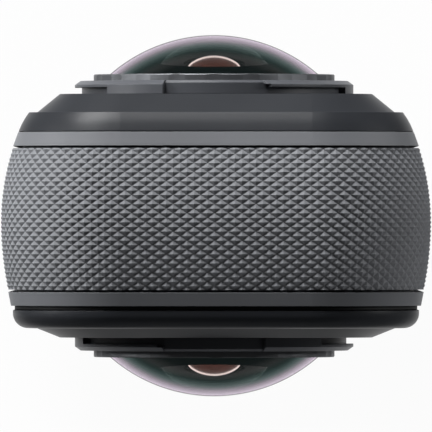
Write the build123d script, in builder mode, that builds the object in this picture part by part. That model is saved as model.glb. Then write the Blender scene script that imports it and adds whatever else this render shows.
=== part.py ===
from build123d import *

import math
import os

# Stick-shaped 360 degree camera with a dome lens on each face, in millimetres.
# X runs across it, +Y is the rear, -Y the screen side and +Z up. The origin is the middle of the foot.

os.makedirs("parts", exist_ok=True)

# Outline of the body, seen from the front
body_width = 46.0
body_height = 124.5
top_corner_radius = 12.8
base_corner_radius = 10.0

# Crowned sides: a rear arc and a front arc that meet along the widest line
crown_y = -0.7
crown_rear_radius = 25.6
crown_front_radius = 34.6

# Rear half, one layer after the other from the middle plane outwards
band_rear_reach = 7.22
rear_trim_gap = 0.22
rear_trim_width = 1.49
rear_joint_gap = 0.07
rear_cover_side = 2.04
rear_shoulder_rise = 1.96

# Front half, in the same order
band_front_reach = 7.88
front_trim_gap = 0.27
front_trim_width = 1.46
front_seal_width = 0.39
front_joint_gap = 0.10
front_cover_side = 1.90
front_shoulder_rise = 1.00

# How far each layer is drawn in from the outline
rear_trim_draft = 0.54
rear_cover_step = 0.04
rear_cover_draft = 1.12
rear_cover_bulge = 0.10
rear_ledge_width = 0.88
front_trim_draft = 0.28
front_seal_step = 0.41
front_cover_step = 0.21
front_cover_rounding = 1.60
front_ledge_width = 0.92
face_inset = 6.32

# Walls and clearances
band_thickness = 1.0
glue_gap = 0.05
frame_depth = 3.2
cover_wall = 1.2
seal_groove_depth = 0.50
seal_groove_width = 0.60
seal_groove_inset = 2.25
hairline = 0.02
slip_gap = 0.10
running_gap = 0.05
pin_fit = 0.01
part_gap = 0.30
overrun = 1.0

# Base cap, its screws, the brass tripod bush and its plate
base_cap_height = 14.0
tripod_bush_radius = 4.5
tripod_bush_length = 7.3
tripod_bush_recess = 0.20
tripod_thread_radius = 2.6
tripod_thread_depth = 6.5
tripod_chamfer = 0.5
tripod_window_gap = 0.3
tripod_plate_end = 2.5
tripod_plate_width = 12.0
tripod_plate_thickness = 3.2
tripod_plate_corner = 1.0
base_screw_side_inset = 12.5
base_screw_radius = 0.9
base_screw_length = 4.6
base_screw_head_radius = 1.6
base_screw_head_height = 0.55
base_screw_head_recess = 0.10

# Lens units: one axis through both faces
lens_x = -0.2
lens_drop = 22.0
flange_radius = 14.95
flange_floor_radius = 14.20
flange_height = 1.46
flange_chamfer_rise = 0.43
flange_chamfer_run = 0.60
flange_gap_chamfer = 0.25
bayonet_slot_height = 0.73
bayonet_lead_in = 0.30
bayonet_count = 3
bayonet_gap_start = -21.5
bayonet_gap_sweep = 43.5
bayonet_slot_sweep = 48.0
bayonet_lead_in_sweep = 3.0
ring_radius = 12.95
ring_height = 0.70
ring_chamfer = 0.10
ring_scallop_count = 20
ring_scallop_depth = 0.08
ring_scallop_radius = 9.0
ring_skirt_wall = 0.45
ring_skirt_length = 1.06
dome_radius = 17.0
dome_rise = 4.24
dome_thickness = 1.40
dome_hollow_radius = 7.90
dome_rim_lift = 0.04
barrel_well_radius = 6.90
barrel_well_depth = 0.50
inner_lens_radius = 4.60
inner_lens_sink = 0.35
barrel_bore_radius = 3.0
barrel_nose_radius = 8.0
barrel_nose_length = 3.2
barrel_waist_radius = 11.3
barrel_top_recess = 0.36
relay_lens_lift = 5.0
relay_lens_length = 2.6
relay_lens_crown = 0.4
lens_seal_width = 0.65
lens_seal_height = 0.30

# Core that carries both barrels back to back, with the sensors in its pockets
core_side_gap = 3.6
core_half_height = 15.2
core_half_depth = 8.8
core_web = 1.2
core_pocket_clearance = 0.2
core_lug_height = 4.0
core_lug_depth = 5.0
core_lug_spread = 16.0
core_screw_radius = 0.7
core_screw_length = 4.0
core_screw_head_radius = 1.3
core_screw_head_height = 0.6
core_screw_recess = 0.10
sensor_board_radius = 10.8
sensor_board_thickness = 0.8
sensor_width = 12.0
sensor_height = 9.0
sensor_thickness = 1.0
ribbon_width = 8.0
ribbon_thickness = 0.15
ribbon_slot_height = 1.6

# Screen on the front
screen_side_margin = 1.18
screen_below_lens = 18.0
screen_above_buttons = 13.5
screen_corner_radius = 2.0
screen_glass_thickness = 0.8
screen_fit_gap = 0.12
screen_ledge = 1.2
display_thickness = 1.4

# Round buttons under the screen
front_button_radius = 4.0
front_button_spread = 14.0
front_button_z = 20.0
front_button_rise = 0.25
front_button_travel = 0.4
button_gap = 0.15
button_flange_width = 0.6
button_flange_thickness = 0.6
button_rounding = 0.2
switch_size = 4.2
switch_thickness = 1.4
board_thickness = 0.8
front_button_board_width = 26.0
front_button_board_height = 12.0

# Buttons on the right side
side_button_length = 11.0
side_button_width = 4.6
side_button_recess = 0.12
side_button_travel = 0.4
power_button_below_lens = 22.5
quick_button_below_power = 15.0
side_board_width = 9.0
side_board_margin = 1.6
side_board_rib = 2.0

# Battery, which leaves through the left side
battery_bottom = 18.0
battery_below_bezel = 4.4
battery_depth = 12.2
battery_board_gap = 5.3
battery_y = -0.3
battery_panel_thickness = 0.8
battery_panel_margin = 3.7
battery_corner_radius = 1.5
latch_length = 9.0
latch_width = 5.0
latch_travel = 3.0
latch_drop = 12.0
latch_recess = 0.15
latch_flange = 0.8
latch_flange_gap = 0.10
latch_back_gap = 0.20
latch_flange_thickness = 0.35
latch_rib_count = 4
latch_rib_pitch = 1.4
latch_rib_depth = 0.25
latch_rib_width = 0.5
contact_block_thickness = 2.0
contact_block_width = 10.0
contact_block_rise = 6.0
contact_finger_count = 4
contact_finger_pitch = 2.2
contact_finger_width = 1.0
contact_finger_depth = 0.2

# Connector door on the left side, above the battery
door_below_lens = 24.0
door_length = 13.2
door_front_reach = 4.5
door_rear_reach = 3.5
door_recess = 0.05
door_thickness = 1.7
door_gap = 0.2
door_pull_width = 0.6
door_pull_length = 6.0
door_pull_depth = 0.5
bezel_rim = 1.3
bezel_recess = 0.02
hinge_pin_radius = 0.30
hinge_pin_bite = 1.0
usb_socket_width = 8.94
usb_socket_height = 3.20
usb_socket_length = 7.3
usb_socket_wall = 0.30
usb_socket_depth = 6.2
usb_socket_corner = 1.4
usb_tongue_thickness = 0.7
usb_tongue_width = 6.7
usb_tongue_length = 4.8
usb_socket_y = -1.25
usb_floor_gap = 0.15
usb_board_length = 15.6
usb_board_height = 14.8
card_width = 11.0
card_length = 15.0
card_thickness = 0.8
card_shell_wall = 0.4
card_gap = 0.08

# Boards, plates and heat path inside
plate_thickness = 0.8
plate_bottom = 9.0
plate_battery_gap = 0.5
plate_corner_radius = 1.5
main_board_thickness = 1.0
main_board_side_gap = 1.4
main_board_bottom = 15.0
main_board_core_gap = 1.3
main_board_battery_gap = 1.3
processor_size = 14.0
processor_thickness = 1.5
processor_lift = 5.5
thermal_pad_size = 13.0
spreader_side_inset = 9.0
spreader_bottom_margin = 11.0
spreader_top_margin = 12.0
spreader_thickness = 1.0
spreader_cover_gap = 0.2
board_tab_length = 4.4
board_tab_height = 4.0
board_tab_thickness = 0.8
board_screw_inset = 2.4
board_screw_radius = 0.55
board_screw_length = 1.6
board_screw_head_radius = 1.2
board_screw_head_height = 0.6

# Sound and light
speaker_side_inset = 13.0
speaker_z = 10.6
speaker_width = 10.0
speaker_height = 6.0
speaker_thickness = 2.0
speaker_corner_radius = 1.0
speaker_slot_count = 3
speaker_slot_pitch = 1.6
speaker_slot_length = 7.0
speaker_slot_width = 0.7
microphone_side_inset = 11.0
microphone_width = 3.0
microphone_height = 2.2
microphone_thickness = 1.0
microphone_hole_radius = 0.5
light_radius = 1.0
light_length = 1.7
front_port_below_screen = 4.5
rear_port_below_lens = 20.5

# Places worked out from the sizes above
half_width = body_width / 2
lens_z = body_height - lens_drop
band_rear_y = band_rear_reach
rear_trim_y = band_rear_y + rear_trim_gap
rear_trim_edge_y = rear_trim_y + rear_trim_width
rear_joint_y = rear_trim_edge_y + rear_joint_gap
rear_ledge_y = rear_joint_y + rear_cover_side
rear_face_y = rear_ledge_y + rear_shoulder_rise
band_front_y = -band_front_reach
front_trim_y = band_front_y - front_trim_gap
front_trim_edge_y = front_trim_y - front_trim_width
front_seal_y = front_trim_edge_y - front_seal_width
front_joint_y = front_seal_y - front_joint_gap
front_ledge_y = front_joint_y - front_cover_side
front_face_y = front_ledge_y - front_shoulder_rise
band_seat_depth = band_thickness + glue_gap
frame_inner_x = half_width - frame_depth
rear_inner_y = rear_face_y - cover_wall
front_inner_y = front_face_y + cover_wall
core_half_width = frame_inner_x - core_side_gap
core_top = lens_z + core_half_height
core_bottom = lens_z - core_half_height
door_z = lens_z - door_below_lens
power_button_z = lens_z - power_button_below_lens
quick_button_z = power_button_z - quick_button_below_power
base_screw_x = half_width - base_screw_side_inset
tripod_plate_reach = base_screw_x + tripod_plate_end
speaker_x = half_width - speaker_side_inset
microphone_x = half_width - microphone_side_inset
rear_port_z = lens_z - rear_port_below_lens
main_board_half_width = frame_inner_x - main_board_side_gap
main_board_top = core_bottom - main_board_core_gap
processor_z = (main_board_bottom + main_board_top) / 2 + processor_lift


def crown_inset(y, depth=0):
    """How far the crowned side, or a face parallel to it at a depth, lies inside the widest line."""
    radius = crown_rear_radius if y > crown_y else crown_front_radius
    return radius - math.sqrt((radius - depth) ** 2 - (y - crown_y) ** 2)


def crown_line(depth, front_y, rear_y):
    """The two arcs of the crowned side at a depth, drawn as (Y, inset) points."""
    for end_y in (front_y, rear_y):
        middle_y = (crown_y + end_y) / 2
        ThreePointArc(
            (crown_y, depth),
            (middle_y, crown_inset(middle_y, depth)),
            (end_y, crown_inset(end_y, depth)),
        )


def side_plane(side, z):
    """Level plane at the widest line of one side, with Y along it and the inset across it."""
    return Plane(origin=(side * half_width, 0, z), x_dir=(0, 1, 0), z_dir=(0, 0, side))


def crown_strip(plane, near_depth, far_depth, front_y, rear_y):
    """Face of a skin that follows the crowned side from one depth to another."""
    with BuildSketch(plane) as strip:
        with BuildLine():
            crown_line(near_depth, front_y, rear_y)
            crown_line(far_depth, front_y, rear_y)
            for y in (front_y, rear_y):
                Line((y, crown_inset(y, near_depth)), (y, crown_inset(y, far_depth)))
        make_face()
    return strip.sketch


def side_slab(plane, depth, far_inset, front_y, rear_y):
    """Face that is crowned on the outside at a depth and flat on the inside at an inset."""
    with BuildSketch(plane) as slab:
        with BuildLine():
            crown_line(depth, front_y, rear_y)
            Polyline(
                (front_y, crown_inset(front_y, depth)),
                (front_y, far_inset),
                (rear_y, far_inset),
                (rear_y, crown_inset(rear_y, depth)),
            )
        make_face()
    return slab.sketch


def inset_outline(inset, y):
    """Outline of the body drawn in by an inset, on the upright plane at a depth."""
    side_x = half_width - inset
    top_radius = max(top_corner_radius - inset, 0)
    base_radius = max(base_corner_radius - inset, 0)
    with BuildSketch(Plane(origin=(0, y, 0), x_dir=(1, 0, 0), z_dir=(0, -1, 0))) as outline:
        with BuildLine():
            FilletPolyline(
                (side_x, inset),
                (side_x, body_height - inset),
                (-side_x, body_height - inset),
                (-side_x, inset),
                radius=(base_radius, top_radius, top_radius, base_radius),
                close=True,
            )
        make_face()
    return outline.sketch


def block(low, high, mode=Mode.ADD):
    """Box from its lowest corner to its highest one."""
    size = [end - start for start, end in zip(low, high)]
    with Locations(low):
        Box(*size, align=(Align.MIN, Align.MIN, Align.MIN), mode=mode)


def rod(plane, radius, length, mode=Mode.ADD):
    """Round bar that stands on a plane."""
    with BuildSketch(plane) as section:
        Circle(radius)
    extrude(section.sketch, amount=length, mode=mode)


def screw(plane, head_radius, head_height, shank_radius, length):
    """Screw whose head ends at the plane, with its shank on the far side and a cross recess."""
    rod(plane, head_radius, -head_height)
    rod(plane, shank_radius, -head_height - length)
    with BuildSketch(plane) as cross:
        Rectangle(head_radius, shank_radius / 2)
        Rectangle(shank_radius / 2, head_radius)
    extrude(cross.sketch, amount=-head_height / 2, mode=Mode.SUBTRACT)


def lens_plane(side, distance):
    """Plane square to the lens axis, at a distance out from the middle, with angles taken from +Z."""
    return Plane(origin=(lens_x, side * distance, lens_z), x_dir=(0, 0, 1), z_dir=(0, side, 0))


def lens_section(side):
    """Plane through the lens axis, for sections drawn as (radius, distance out) points."""
    return Plane(origin=(lens_x, 0, lens_z), x_dir=(0, 0, 1), z_dir=(-side, 0, 0))


def lens_axis(side):
    return Axis((lens_x, 0, lens_z), (0, side, 0))


def ring_sector(plane, inner, outer, start, sweep_angle):
    """Face of a stretch of a flat ring."""
    with BuildSketch(plane) as stretch:
        with BuildLine():
            CenterArc((0, 0), inner, start, sweep_angle)
            CenterArc((0, 0), outer, start, sweep_angle)
            for angle in (start, start + sweep_angle):
                ray = Vector(math.cos(math.radians(angle)), math.sin(math.radians(angle)))
                Line(ray * inner, ray * outer)
        make_face()
    return stretch.sketch


def front_plane(y, z=0, x=0):
    """Upright plane that faces the front, with X to the right and Z up."""
    return Plane(origin=(x, y, z), x_dir=(1, 0, 0), z_dir=(0, -1, 0))


def rear_plane(y, z=0, x=0):
    """Upright plane that faces the rear, with Z up."""
    return Plane(origin=(x, y, z), x_dir=(-1, 0, 0), z_dir=(0, 1, 0))


# Half of the outline, from the middle of the foot round the right side to the middle of the top
with BuildLine(Plane.XZ) as half_outline:
    FilletPolyline(
        (0, 0),
        (half_width, 0),
        (half_width, body_height),
        (0, body_height),
        radius=(base_corner_radius, top_corner_radius),
    )
half_path = half_outline.wire()

# Places on the left side that several pieces share
door_bottom = door_z - door_length / 2
door_top = door_z + door_length / 2
bezel_bottom = door_bottom - door_gap - bezel_rim
bezel_top = door_top + door_gap + bezel_rim
battery_top = bezel_bottom - battery_below_bezel
battery_front_y = battery_y - battery_depth / 2
battery_rear_y = battery_y + battery_depth / 2
panel_bottom = base_cap_height + part_gap
panel_top = battery_top + battery_panel_margin / 2
band_left_bottom = panel_top + part_gap
band_right_bottom = base_cap_height + part_gap
bezel_front_y = -door_front_reach - door_gap - bezel_rim
bezel_rear_y = door_rear_reach + door_gap + bezel_rim
bezel_inset = door_recess + door_thickness
door_floor_inset = bezel_inset + part_gap
usb_front_y = usb_socket_y - usb_socket_height / 2
usb_rear_y = usb_socket_y + usb_socket_height / 2
usb_mouth_x = -half_width + door_floor_inset + slip_gap
usb_board_y = usb_rear_y + slip_gap
card_shell_y = usb_board_y + board_thickness + slip_gap
card_front_y = card_shell_y + card_shell_wall
card_rear_y = card_front_y + card_thickness + 2 * card_gap
card_shell_x = -frame_inner_x + part_gap
usb_board_bottom = door_z - usb_board_height / 2
usb_board_top = door_z + usb_board_height / 2

# Places of the side buttons and of the boards
side_button_places = (("power_button", power_button_z), ("quick_button", quick_button_z))
side_flange_x = frame_inner_x - part_gap - button_flange_thickness
side_switch_x = side_flange_x - side_button_travel - slip_gap
side_board_x = side_switch_x - switch_thickness - board_thickness
side_board_bottom = quick_button_z - side_button_length / 2 - side_board_margin
side_board_top = power_button_z + side_button_length / 2 + side_board_margin / 2
side_rib_z = (power_button_z + quick_button_z) / 2
plate_y = battery_front_y - plate_battery_gap - plate_thickness
main_board_y = battery_rear_y + main_board_battery_gap
main_board_rear_y = main_board_y + main_board_thickness
tab_y = main_board_y - slip_gap - board_tab_thickness
tab_bottoms = (main_board_bottom, main_board_top - board_tab_height)
core_screw_places = [
    (side, lens_z + step * core_lug_spread / 2) for side in (-1, 1) for step in (-1, 1)
]
core_lug_x = frame_inner_x - part_gap
crown_seat_x = half_width - band_seat_depth

# Mid frame: one moulded ring with the grey trim lips, the seat of the grip band and the seal groove
with BuildSketch(Plane.YZ) as frame_section:
    with BuildLine():
        crown_line(band_seat_depth, front_trim_y, rear_trim_y)
        Polyline(
            (rear_trim_y, crown_inset(rear_trim_y, band_seat_depth)),
            (rear_trim_y, crown_inset(rear_trim_y)),
            (rear_trim_edge_y, crown_inset(rear_trim_y) + rear_trim_draft),
            (rear_trim_edge_y, seal_groove_inset),
            (rear_trim_edge_y - seal_groove_depth, seal_groove_inset),
            (rear_trim_edge_y - seal_groove_depth, seal_groove_inset + seal_groove_width),
            (rear_trim_edge_y, seal_groove_inset + seal_groove_width),
            (rear_trim_edge_y, frame_depth),
            (front_trim_edge_y, frame_depth),
            (front_trim_edge_y, crown_inset(front_trim_y) + front_trim_draft),
            (front_trim_y, crown_inset(front_trim_y)),
            (front_trim_y, crown_inset(front_trim_y, band_seat_depth)),
        )
    make_face()

with BuildPart() as mid_frame:
    sweep(frame_section.sketch, path=half_path)
    mirror(about=Plane.YZ)
    # Tabs that the main board is screwed to
    for side in (-1, 1):
        for tab_bottom in tab_bottoms:
            tab_root = side * (frame_inner_x + hairline)
            tab_ends = sorted((tab_root, side * (frame_inner_x - board_tab_length)))
            block(
                (tab_ends[0], tab_y, tab_bottom),
                (tab_ends[1], tab_y + board_tab_thickness, tab_bottom + board_tab_height),
            )
    # Rib that the side button board rests against
    block(
        (side_board_x + board_thickness, -side_board_rib, side_rib_z - side_board_rib / 2),
        (frame_inner_x + hairline, side_board_rib, side_rib_z + side_board_rib / 2),
    )
    # Square window for the bush, and the screw holes in the foot
    window_half = tripod_bush_radius + tripod_window_gap
    block(
        (-window_half, -window_half, -overrun),
        (window_half, window_half, frame_depth + overrun),
        mode=Mode.SUBTRACT,
    )
    for x in (-base_screw_x, base_screw_x):
        rod(
            Plane(origin=(x, 0, -overrun)),
            base_screw_radius + slip_gap,
            frame_depth + 2 * overrun,
            mode=Mode.SUBTRACT,
        )
    # Board screw holes
    for side in (-1, 1):
        for tab_bottom in tab_bottoms:
            screw_x = side * (frame_inner_x - board_tab_length + board_screw_inset)
            rod(
                rear_plane(tab_y - overrun, tab_bottom + board_tab_height / 2, screw_x),
                board_screw_radius + pin_fit,
                board_tab_thickness + 2 * overrun,
                mode=Mode.SUBTRACT,
            )
    # Battery window
    block(
        (-half_width, battery_front_y - part_gap, battery_bottom - part_gap),
        (-frame_inner_x + overrun, battery_rear_y + part_gap, battery_top + part_gap),
        mode=Mode.SUBTRACT,
    )
    # Pocket of the door's bezel, the well under the door and the two slots in its floor
    usb_slot_half = usb_socket_width / 2 + usb_floor_gap
    block(
        (-half_width, bezel_front_y - glue_gap, bezel_bottom - glue_gap),
        (-half_width + bezel_inset + glue_gap, bezel_rear_y + glue_gap, bezel_top + glue_gap),
        mode=Mode.SUBTRACT,
    )
    block(
        (-half_width, -door_front_reach - door_gap, door_bottom - door_gap),
        (-half_width + door_floor_inset, door_rear_reach + door_gap, door_top + door_gap),
        mode=Mode.SUBTRACT,
    )
    block(
        (-half_width, usb_front_y - usb_floor_gap, door_z - usb_slot_half),
        (-frame_inner_x + overrun, usb_rear_y + usb_floor_gap, door_z + usb_slot_half),
        mode=Mode.SUBTRACT,
    )
    block(
        (-half_width, card_front_y, door_z - card_width / 2 - card_gap),
        (-frame_inner_x + overrun, card_rear_y, door_z + card_width / 2 + card_gap),
        mode=Mode.SUBTRACT,
    )
    # Side button holes
    for button_name, button_z in side_button_places:
        with BuildSketch(Plane(origin=(half_width, 0, button_z), x_dir=(0, 0, 1), z_dir=(-1, 0, 0))):
            SlotOverall(side_button_length + 2 * button_gap, side_button_width + 2 * button_gap)
        extrude(amount=frame_depth + overrun, mode=Mode.SUBTRACT)
    # Screw holes of the core, with the heads under the grip band
    for side, screw_z in core_screw_places:
        screw_plane = Plane(origin=(side * half_width, 0, screw_z), x_dir=(0, 1, 0), z_dir=(-side, 0, 0))
        rod(screw_plane, core_screw_radius + pin_fit, frame_depth + overrun, mode=Mode.SUBTRACT)
        rod(
            screw_plane,
            core_screw_head_radius + slip_gap,
            band_seat_depth + core_screw_recess + core_screw_head_height,
            mode=Mode.SUBTRACT,
        )
mid_frame.part.label = "mid_frame"
export_step(mid_frame.part, "parts/mid_frame.step")

# Grip band: a textured skin glued round both sides and over the top
with BuildLine(Plane.XZ) as band_outline:
    FilletPolyline(
        (half_width, band_right_bottom),
        (half_width, body_height),
        (-half_width, body_height),
        (-half_width, band_left_bottom),
        radius=top_corner_radius,
    )
with BuildPart() as grip_band:
    sweep(
        crown_strip(side_plane(1, band_right_bottom), 0, band_thickness, band_front_y, band_rear_y),
        path=band_outline.wire(),
    )
    block(
        (-half_width - overrun, bezel_front_y - slip_gap, bezel_bottom - slip_gap),
        (-frame_inner_x, bezel_rear_y + slip_gap, bezel_top + slip_gap),
        mode=Mode.SUBTRACT,
    )
    for button_name, button_z in side_button_places:
        with BuildSketch(Plane(origin=(half_width, 0, button_z), x_dir=(0, 0, 1), z_dir=(-1, 0, 0))):
            SlotOverall(side_button_length + 2 * button_gap, side_button_width + 2 * button_gap)
        extrude(amount=frame_depth, mode=Mode.SUBTRACT)
grip_band.part.label = "grip_band"
export_step(grip_band.part, "parts/grip_band.step")

# Base cap: a shoe round the foot, flat underneath so that the camera stands
with BuildLine(Plane.XZ) as base_outline:
    FilletPolyline(
        (half_width, base_cap_height), (half_width, 0), (0, 0), radius=base_corner_radius
    )
with BuildSketch(side_plane(1, base_cap_height)) as base_section:
    with BuildLine():
        crown_line(band_thickness, band_front_y, band_rear_y)
        Polyline(
            (band_front_y, crown_inset(band_front_y, band_thickness)),
            (band_front_y, 0),
            (band_rear_y, 0),
            (band_rear_y, crown_inset(band_rear_y, band_thickness)),
        )
    make_face()
with BuildPart() as base_cap:
    sweep(base_section.sketch, path=base_outline.wire())
    extrude(
        side_slab(side_plane(1, 0), 0, half_width, band_front_y, band_rear_y),
        amount=base_cap_height,
        mode=Mode.INTERSECT,
    )
    mirror(about=Plane.YZ)
    rod(Plane.XY, tripod_bush_radius + slip_gap, base_cap_height, mode=Mode.SUBTRACT)
    for x in (-base_screw_x, base_screw_x):
        foot_plane = Plane(origin=(x, 0, 0))
        rod(foot_plane, base_screw_radius + slip_gap, base_cap_height, mode=Mode.SUBTRACT)
        rod(
            foot_plane,
            base_screw_head_radius + slip_gap,
            base_screw_head_recess + base_screw_head_height,
            mode=Mode.SUBTRACT,
        )
base_cap.part.label = "base_cap"
export_step(base_cap.part, "parts/base_cap.step")

# Tripod plate: lies on the floor of the frame, holds the bush and takes the two base screws
plate_floor = frame_depth + hairline
with BuildPart() as tripod_plate:
    block(
        (-tripod_plate_reach, -tripod_plate_width / 2, plate_floor),
        (tripod_plate_reach, tripod_plate_width / 2, plate_floor + tripod_plate_thickness),
    )
    fillet(tripod_plate.edges().filter_by(Axis.Z), radius=tripod_plate_corner)
    bore_plane = Plane.XY.offset(plate_floor - overrun)
    bore_length = tripod_plate_thickness + 2 * overrun
    rod(bore_plane, tripod_bush_radius + pin_fit, bore_length, mode=Mode.SUBTRACT)
    with Locations((-base_screw_x, 0), (base_screw_x, 0)):
        Hole(base_screw_radius + pin_fit)
tripod_plate.part.label = "tripod_plate"
export_step(tripod_plate.part, "parts/tripod_plate.step")

# Brass bush with a 1/4 inch tripod thread, at the thread's inner radius
with BuildPart() as tripod_bush:
    bush_plane = Plane.XY.offset(tripod_bush_recess)
    rod(bush_plane, tripod_bush_radius, tripod_bush_length)
    rod(bush_plane, tripod_thread_radius, tripod_thread_depth, mode=Mode.SUBTRACT)
    mouth = tripod_bush.edges().filter_by(GeomType.CIRCLE).group_by(Axis.Z)[0].sort_by(SortBy.RADIUS)[0]
    chamfer(mouth, length=tripod_chamfer)
tripod_bush.part.label = "tripod_bush"
export_step(tripod_bush.part, "parts/tripod_bush.step")

# Two screws that hold the base cap, one node
with BuildPart() as base_screws:
    for x in (-base_screw_x, base_screw_x):
        head_plane = Plane(origin=(x, 0, base_screw_head_recess), x_dir=(1, 0, 0), z_dir=(0, 0, -1))
        screw(
            head_plane,
            base_screw_head_radius,
            base_screw_head_height,
            base_screw_radius,
            base_screw_length,
        )
base_screws.part.label = "base_screws"
export_step(base_screws.part, "parts/base_screws.step")

# Front seal: the dark strip that sits back between the front trim and the front cover
front_seal_inset = crown_inset(front_trim_y) + front_trim_draft + front_seal_step
with BuildSketch(Plane.YZ) as front_seal_section:
    with BuildLine():
        Polyline(
            (front_trim_edge_y - hairline, front_seal_inset),
            (front_seal_y, front_seal_inset),
            (front_seal_y, frame_depth),
            (front_trim_edge_y - hairline, frame_depth),
            close=True,
        )
    make_face()
with BuildPart() as front_seal:
    sweep(front_seal_section.sketch, path=half_path)
    mirror(about=Plane.YZ)
front_seal.part.label = "front_seal"
export_step(front_seal.part, "parts/front_seal.step")

# Rear seal: a cord in the groove of the frame, pressed by the rear cover
with BuildSketch(Plane.YZ) as rear_seal_section:
    with BuildLine():
        Polyline(
            (rear_trim_edge_y - seal_groove_depth + hairline, seal_groove_inset + hairline),
            (rear_joint_y - hairline, seal_groove_inset + hairline),
            (rear_joint_y - hairline, seal_groove_inset + seal_groove_width - hairline),
            (
                rear_trim_edge_y - seal_groove_depth + hairline,
                seal_groove_inset + seal_groove_width - hairline,
            ),
            close=True,
        )
    make_face()
with BuildPart() as rear_seal:
    sweep(rear_seal_section.sketch, path=half_path)
    mirror(about=Plane.YZ)
rear_seal.part.label = "rear_seal"
export_step(rear_seal.part, "parts/rear_seal.step")

# Sizes of the lens unit that the covers and the core share
dome_seat_radius = dome_radius + running_gap


def lens_levels(side):
    """Distances out from the middle plane: cover face, flange top, ring top and dome centre."""
    face = rear_face_y if side > 0 else -front_face_y
    flange_top = face + flange_height
    ring_top = flange_top + ring_height
    return face, flange_top, ring_top, ring_top + dome_rise - dome_radius


def skirt_inner_radius(side):
    """Radius of the dome's seat where the lens ring meets the flange."""
    face, flange_top, ring_top, dome_centre = lens_levels(side)
    return math.sqrt(dome_seat_radius**2 - (flange_top - dome_centre) ** 2)


barrel_radius = min(skirt_inner_radius(1), skirt_inner_radius(-1)) - running_gap
cover_bore_radius = barrel_radius + slip_gap

# Rear cover: shell with a bulged side, a ledge, a sloping shoulder and a flat face
rear_cover_inset = crown_inset(rear_trim_y) + rear_trim_draft + rear_cover_step
rear_ledge_inset = rear_cover_inset + rear_cover_draft
with BuildSketch(Plane.YZ) as rear_cover_section:
    with BuildLine():
        ThreePointArc(
            (rear_joint_y, rear_cover_inset),
            (
                (rear_joint_y + rear_ledge_y) / 2,
                (rear_cover_inset + rear_ledge_inset) / 2 - rear_cover_bulge,
            ),
            (rear_ledge_y, rear_ledge_inset),
        )
        Polyline(
            (rear_ledge_y, rear_ledge_inset),
            (rear_ledge_y, rear_ledge_inset + rear_ledge_width),
            (rear_face_y, face_inset),
            (rear_face_y, face_inset + cover_wall),
            (rear_inner_y, face_inset + cover_wall),
            (rear_inner_y, face_inset + cover_wall / 2),
            (rear_joint_y, rear_cover_inset + cover_wall),
            (rear_joint_y, rear_cover_inset),
        )
    make_face()
with BuildPart() as rear_cover:
    sweep(rear_cover_section.sketch, path=half_path)
    mirror(about=Plane.YZ)
    extrude(inset_outline(face_inset + 3 * cover_wall / 4, rear_face_y), amount=cover_wall)
    rod(lens_plane(1, rear_joint_y), cover_bore_radius, rear_face_y, mode=Mode.SUBTRACT)
    # Sound slots of the speaker
    with BuildSketch(rear_plane(rear_inner_y - overrun, speaker_z, speaker_x)):
        with GridLocations(0, speaker_slot_pitch, 1, speaker_slot_count):
            SlotOverall(speaker_slot_length, speaker_slot_width)
    extrude(amount=cover_wall + 2 * overrun, mode=Mode.SUBTRACT)
    # Ports of the status light and of the microphones
    rod(
        rear_plane(rear_inner_y - overrun, rear_port_z),
        light_radius + running_gap,
        cover_wall + 2 * overrun,
        mode=Mode.SUBTRACT,
    )
    for x in (-microphone_x, microphone_x):
        rod(
            rear_plane(rear_inner_y - overrun, rear_port_z, x),
            microphone_hole_radius,
            cover_wall + 2 * overrun,
            mode=Mode.SUBTRACT,
        )
rear_cover.part.label = "rear_cover"
export_step(rear_cover.part, "parts/rear_cover.step")

# Front cover: like the rear one, with a rounded side and the screen window
front_cover_inset = crown_inset(front_trim_y) + front_trim_draft + front_cover_step
front_rounding_inset = front_cover_inset + front_cover_rounding
rounding_middle = front_cover_rounding * (1 - math.sqrt(1 / 2))
screen_top = lens_z - screen_below_lens
screen_bottom = front_button_z + screen_above_buttons
screen_length = screen_top - screen_bottom
screen_width = 2 * (half_width - face_inset - screen_side_margin)
screen_z = (screen_top + screen_bottom) / 2
front_port_z = screen_bottom - front_port_below_screen
screen_window_width = screen_width - 2 * screen_ledge
screen_window_length = screen_length - 2 * screen_ledge
with BuildSketch(Plane.YZ) as front_cover_section:
    with BuildLine():
        ThreePointArc(
            (front_ledge_y + front_cover_rounding, front_cover_inset),
            (front_ledge_y + rounding_middle, front_cover_inset + rounding_middle),
            (front_ledge_y, front_rounding_inset),
        )
        Polyline(
            (front_ledge_y, front_rounding_inset),
            (front_ledge_y, front_rounding_inset + front_ledge_width),
            (front_face_y, face_inset),
            (front_face_y, face_inset + cover_wall),
            (front_inner_y, face_inset + cover_wall),
            (front_inner_y, face_inset + cover_wall / 2),
            (front_joint_y, front_cover_inset + cover_wall),
            (front_joint_y, front_cover_inset),
            (front_ledge_y + front_cover_rounding, front_cover_inset),
        )
    make_face()
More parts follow.
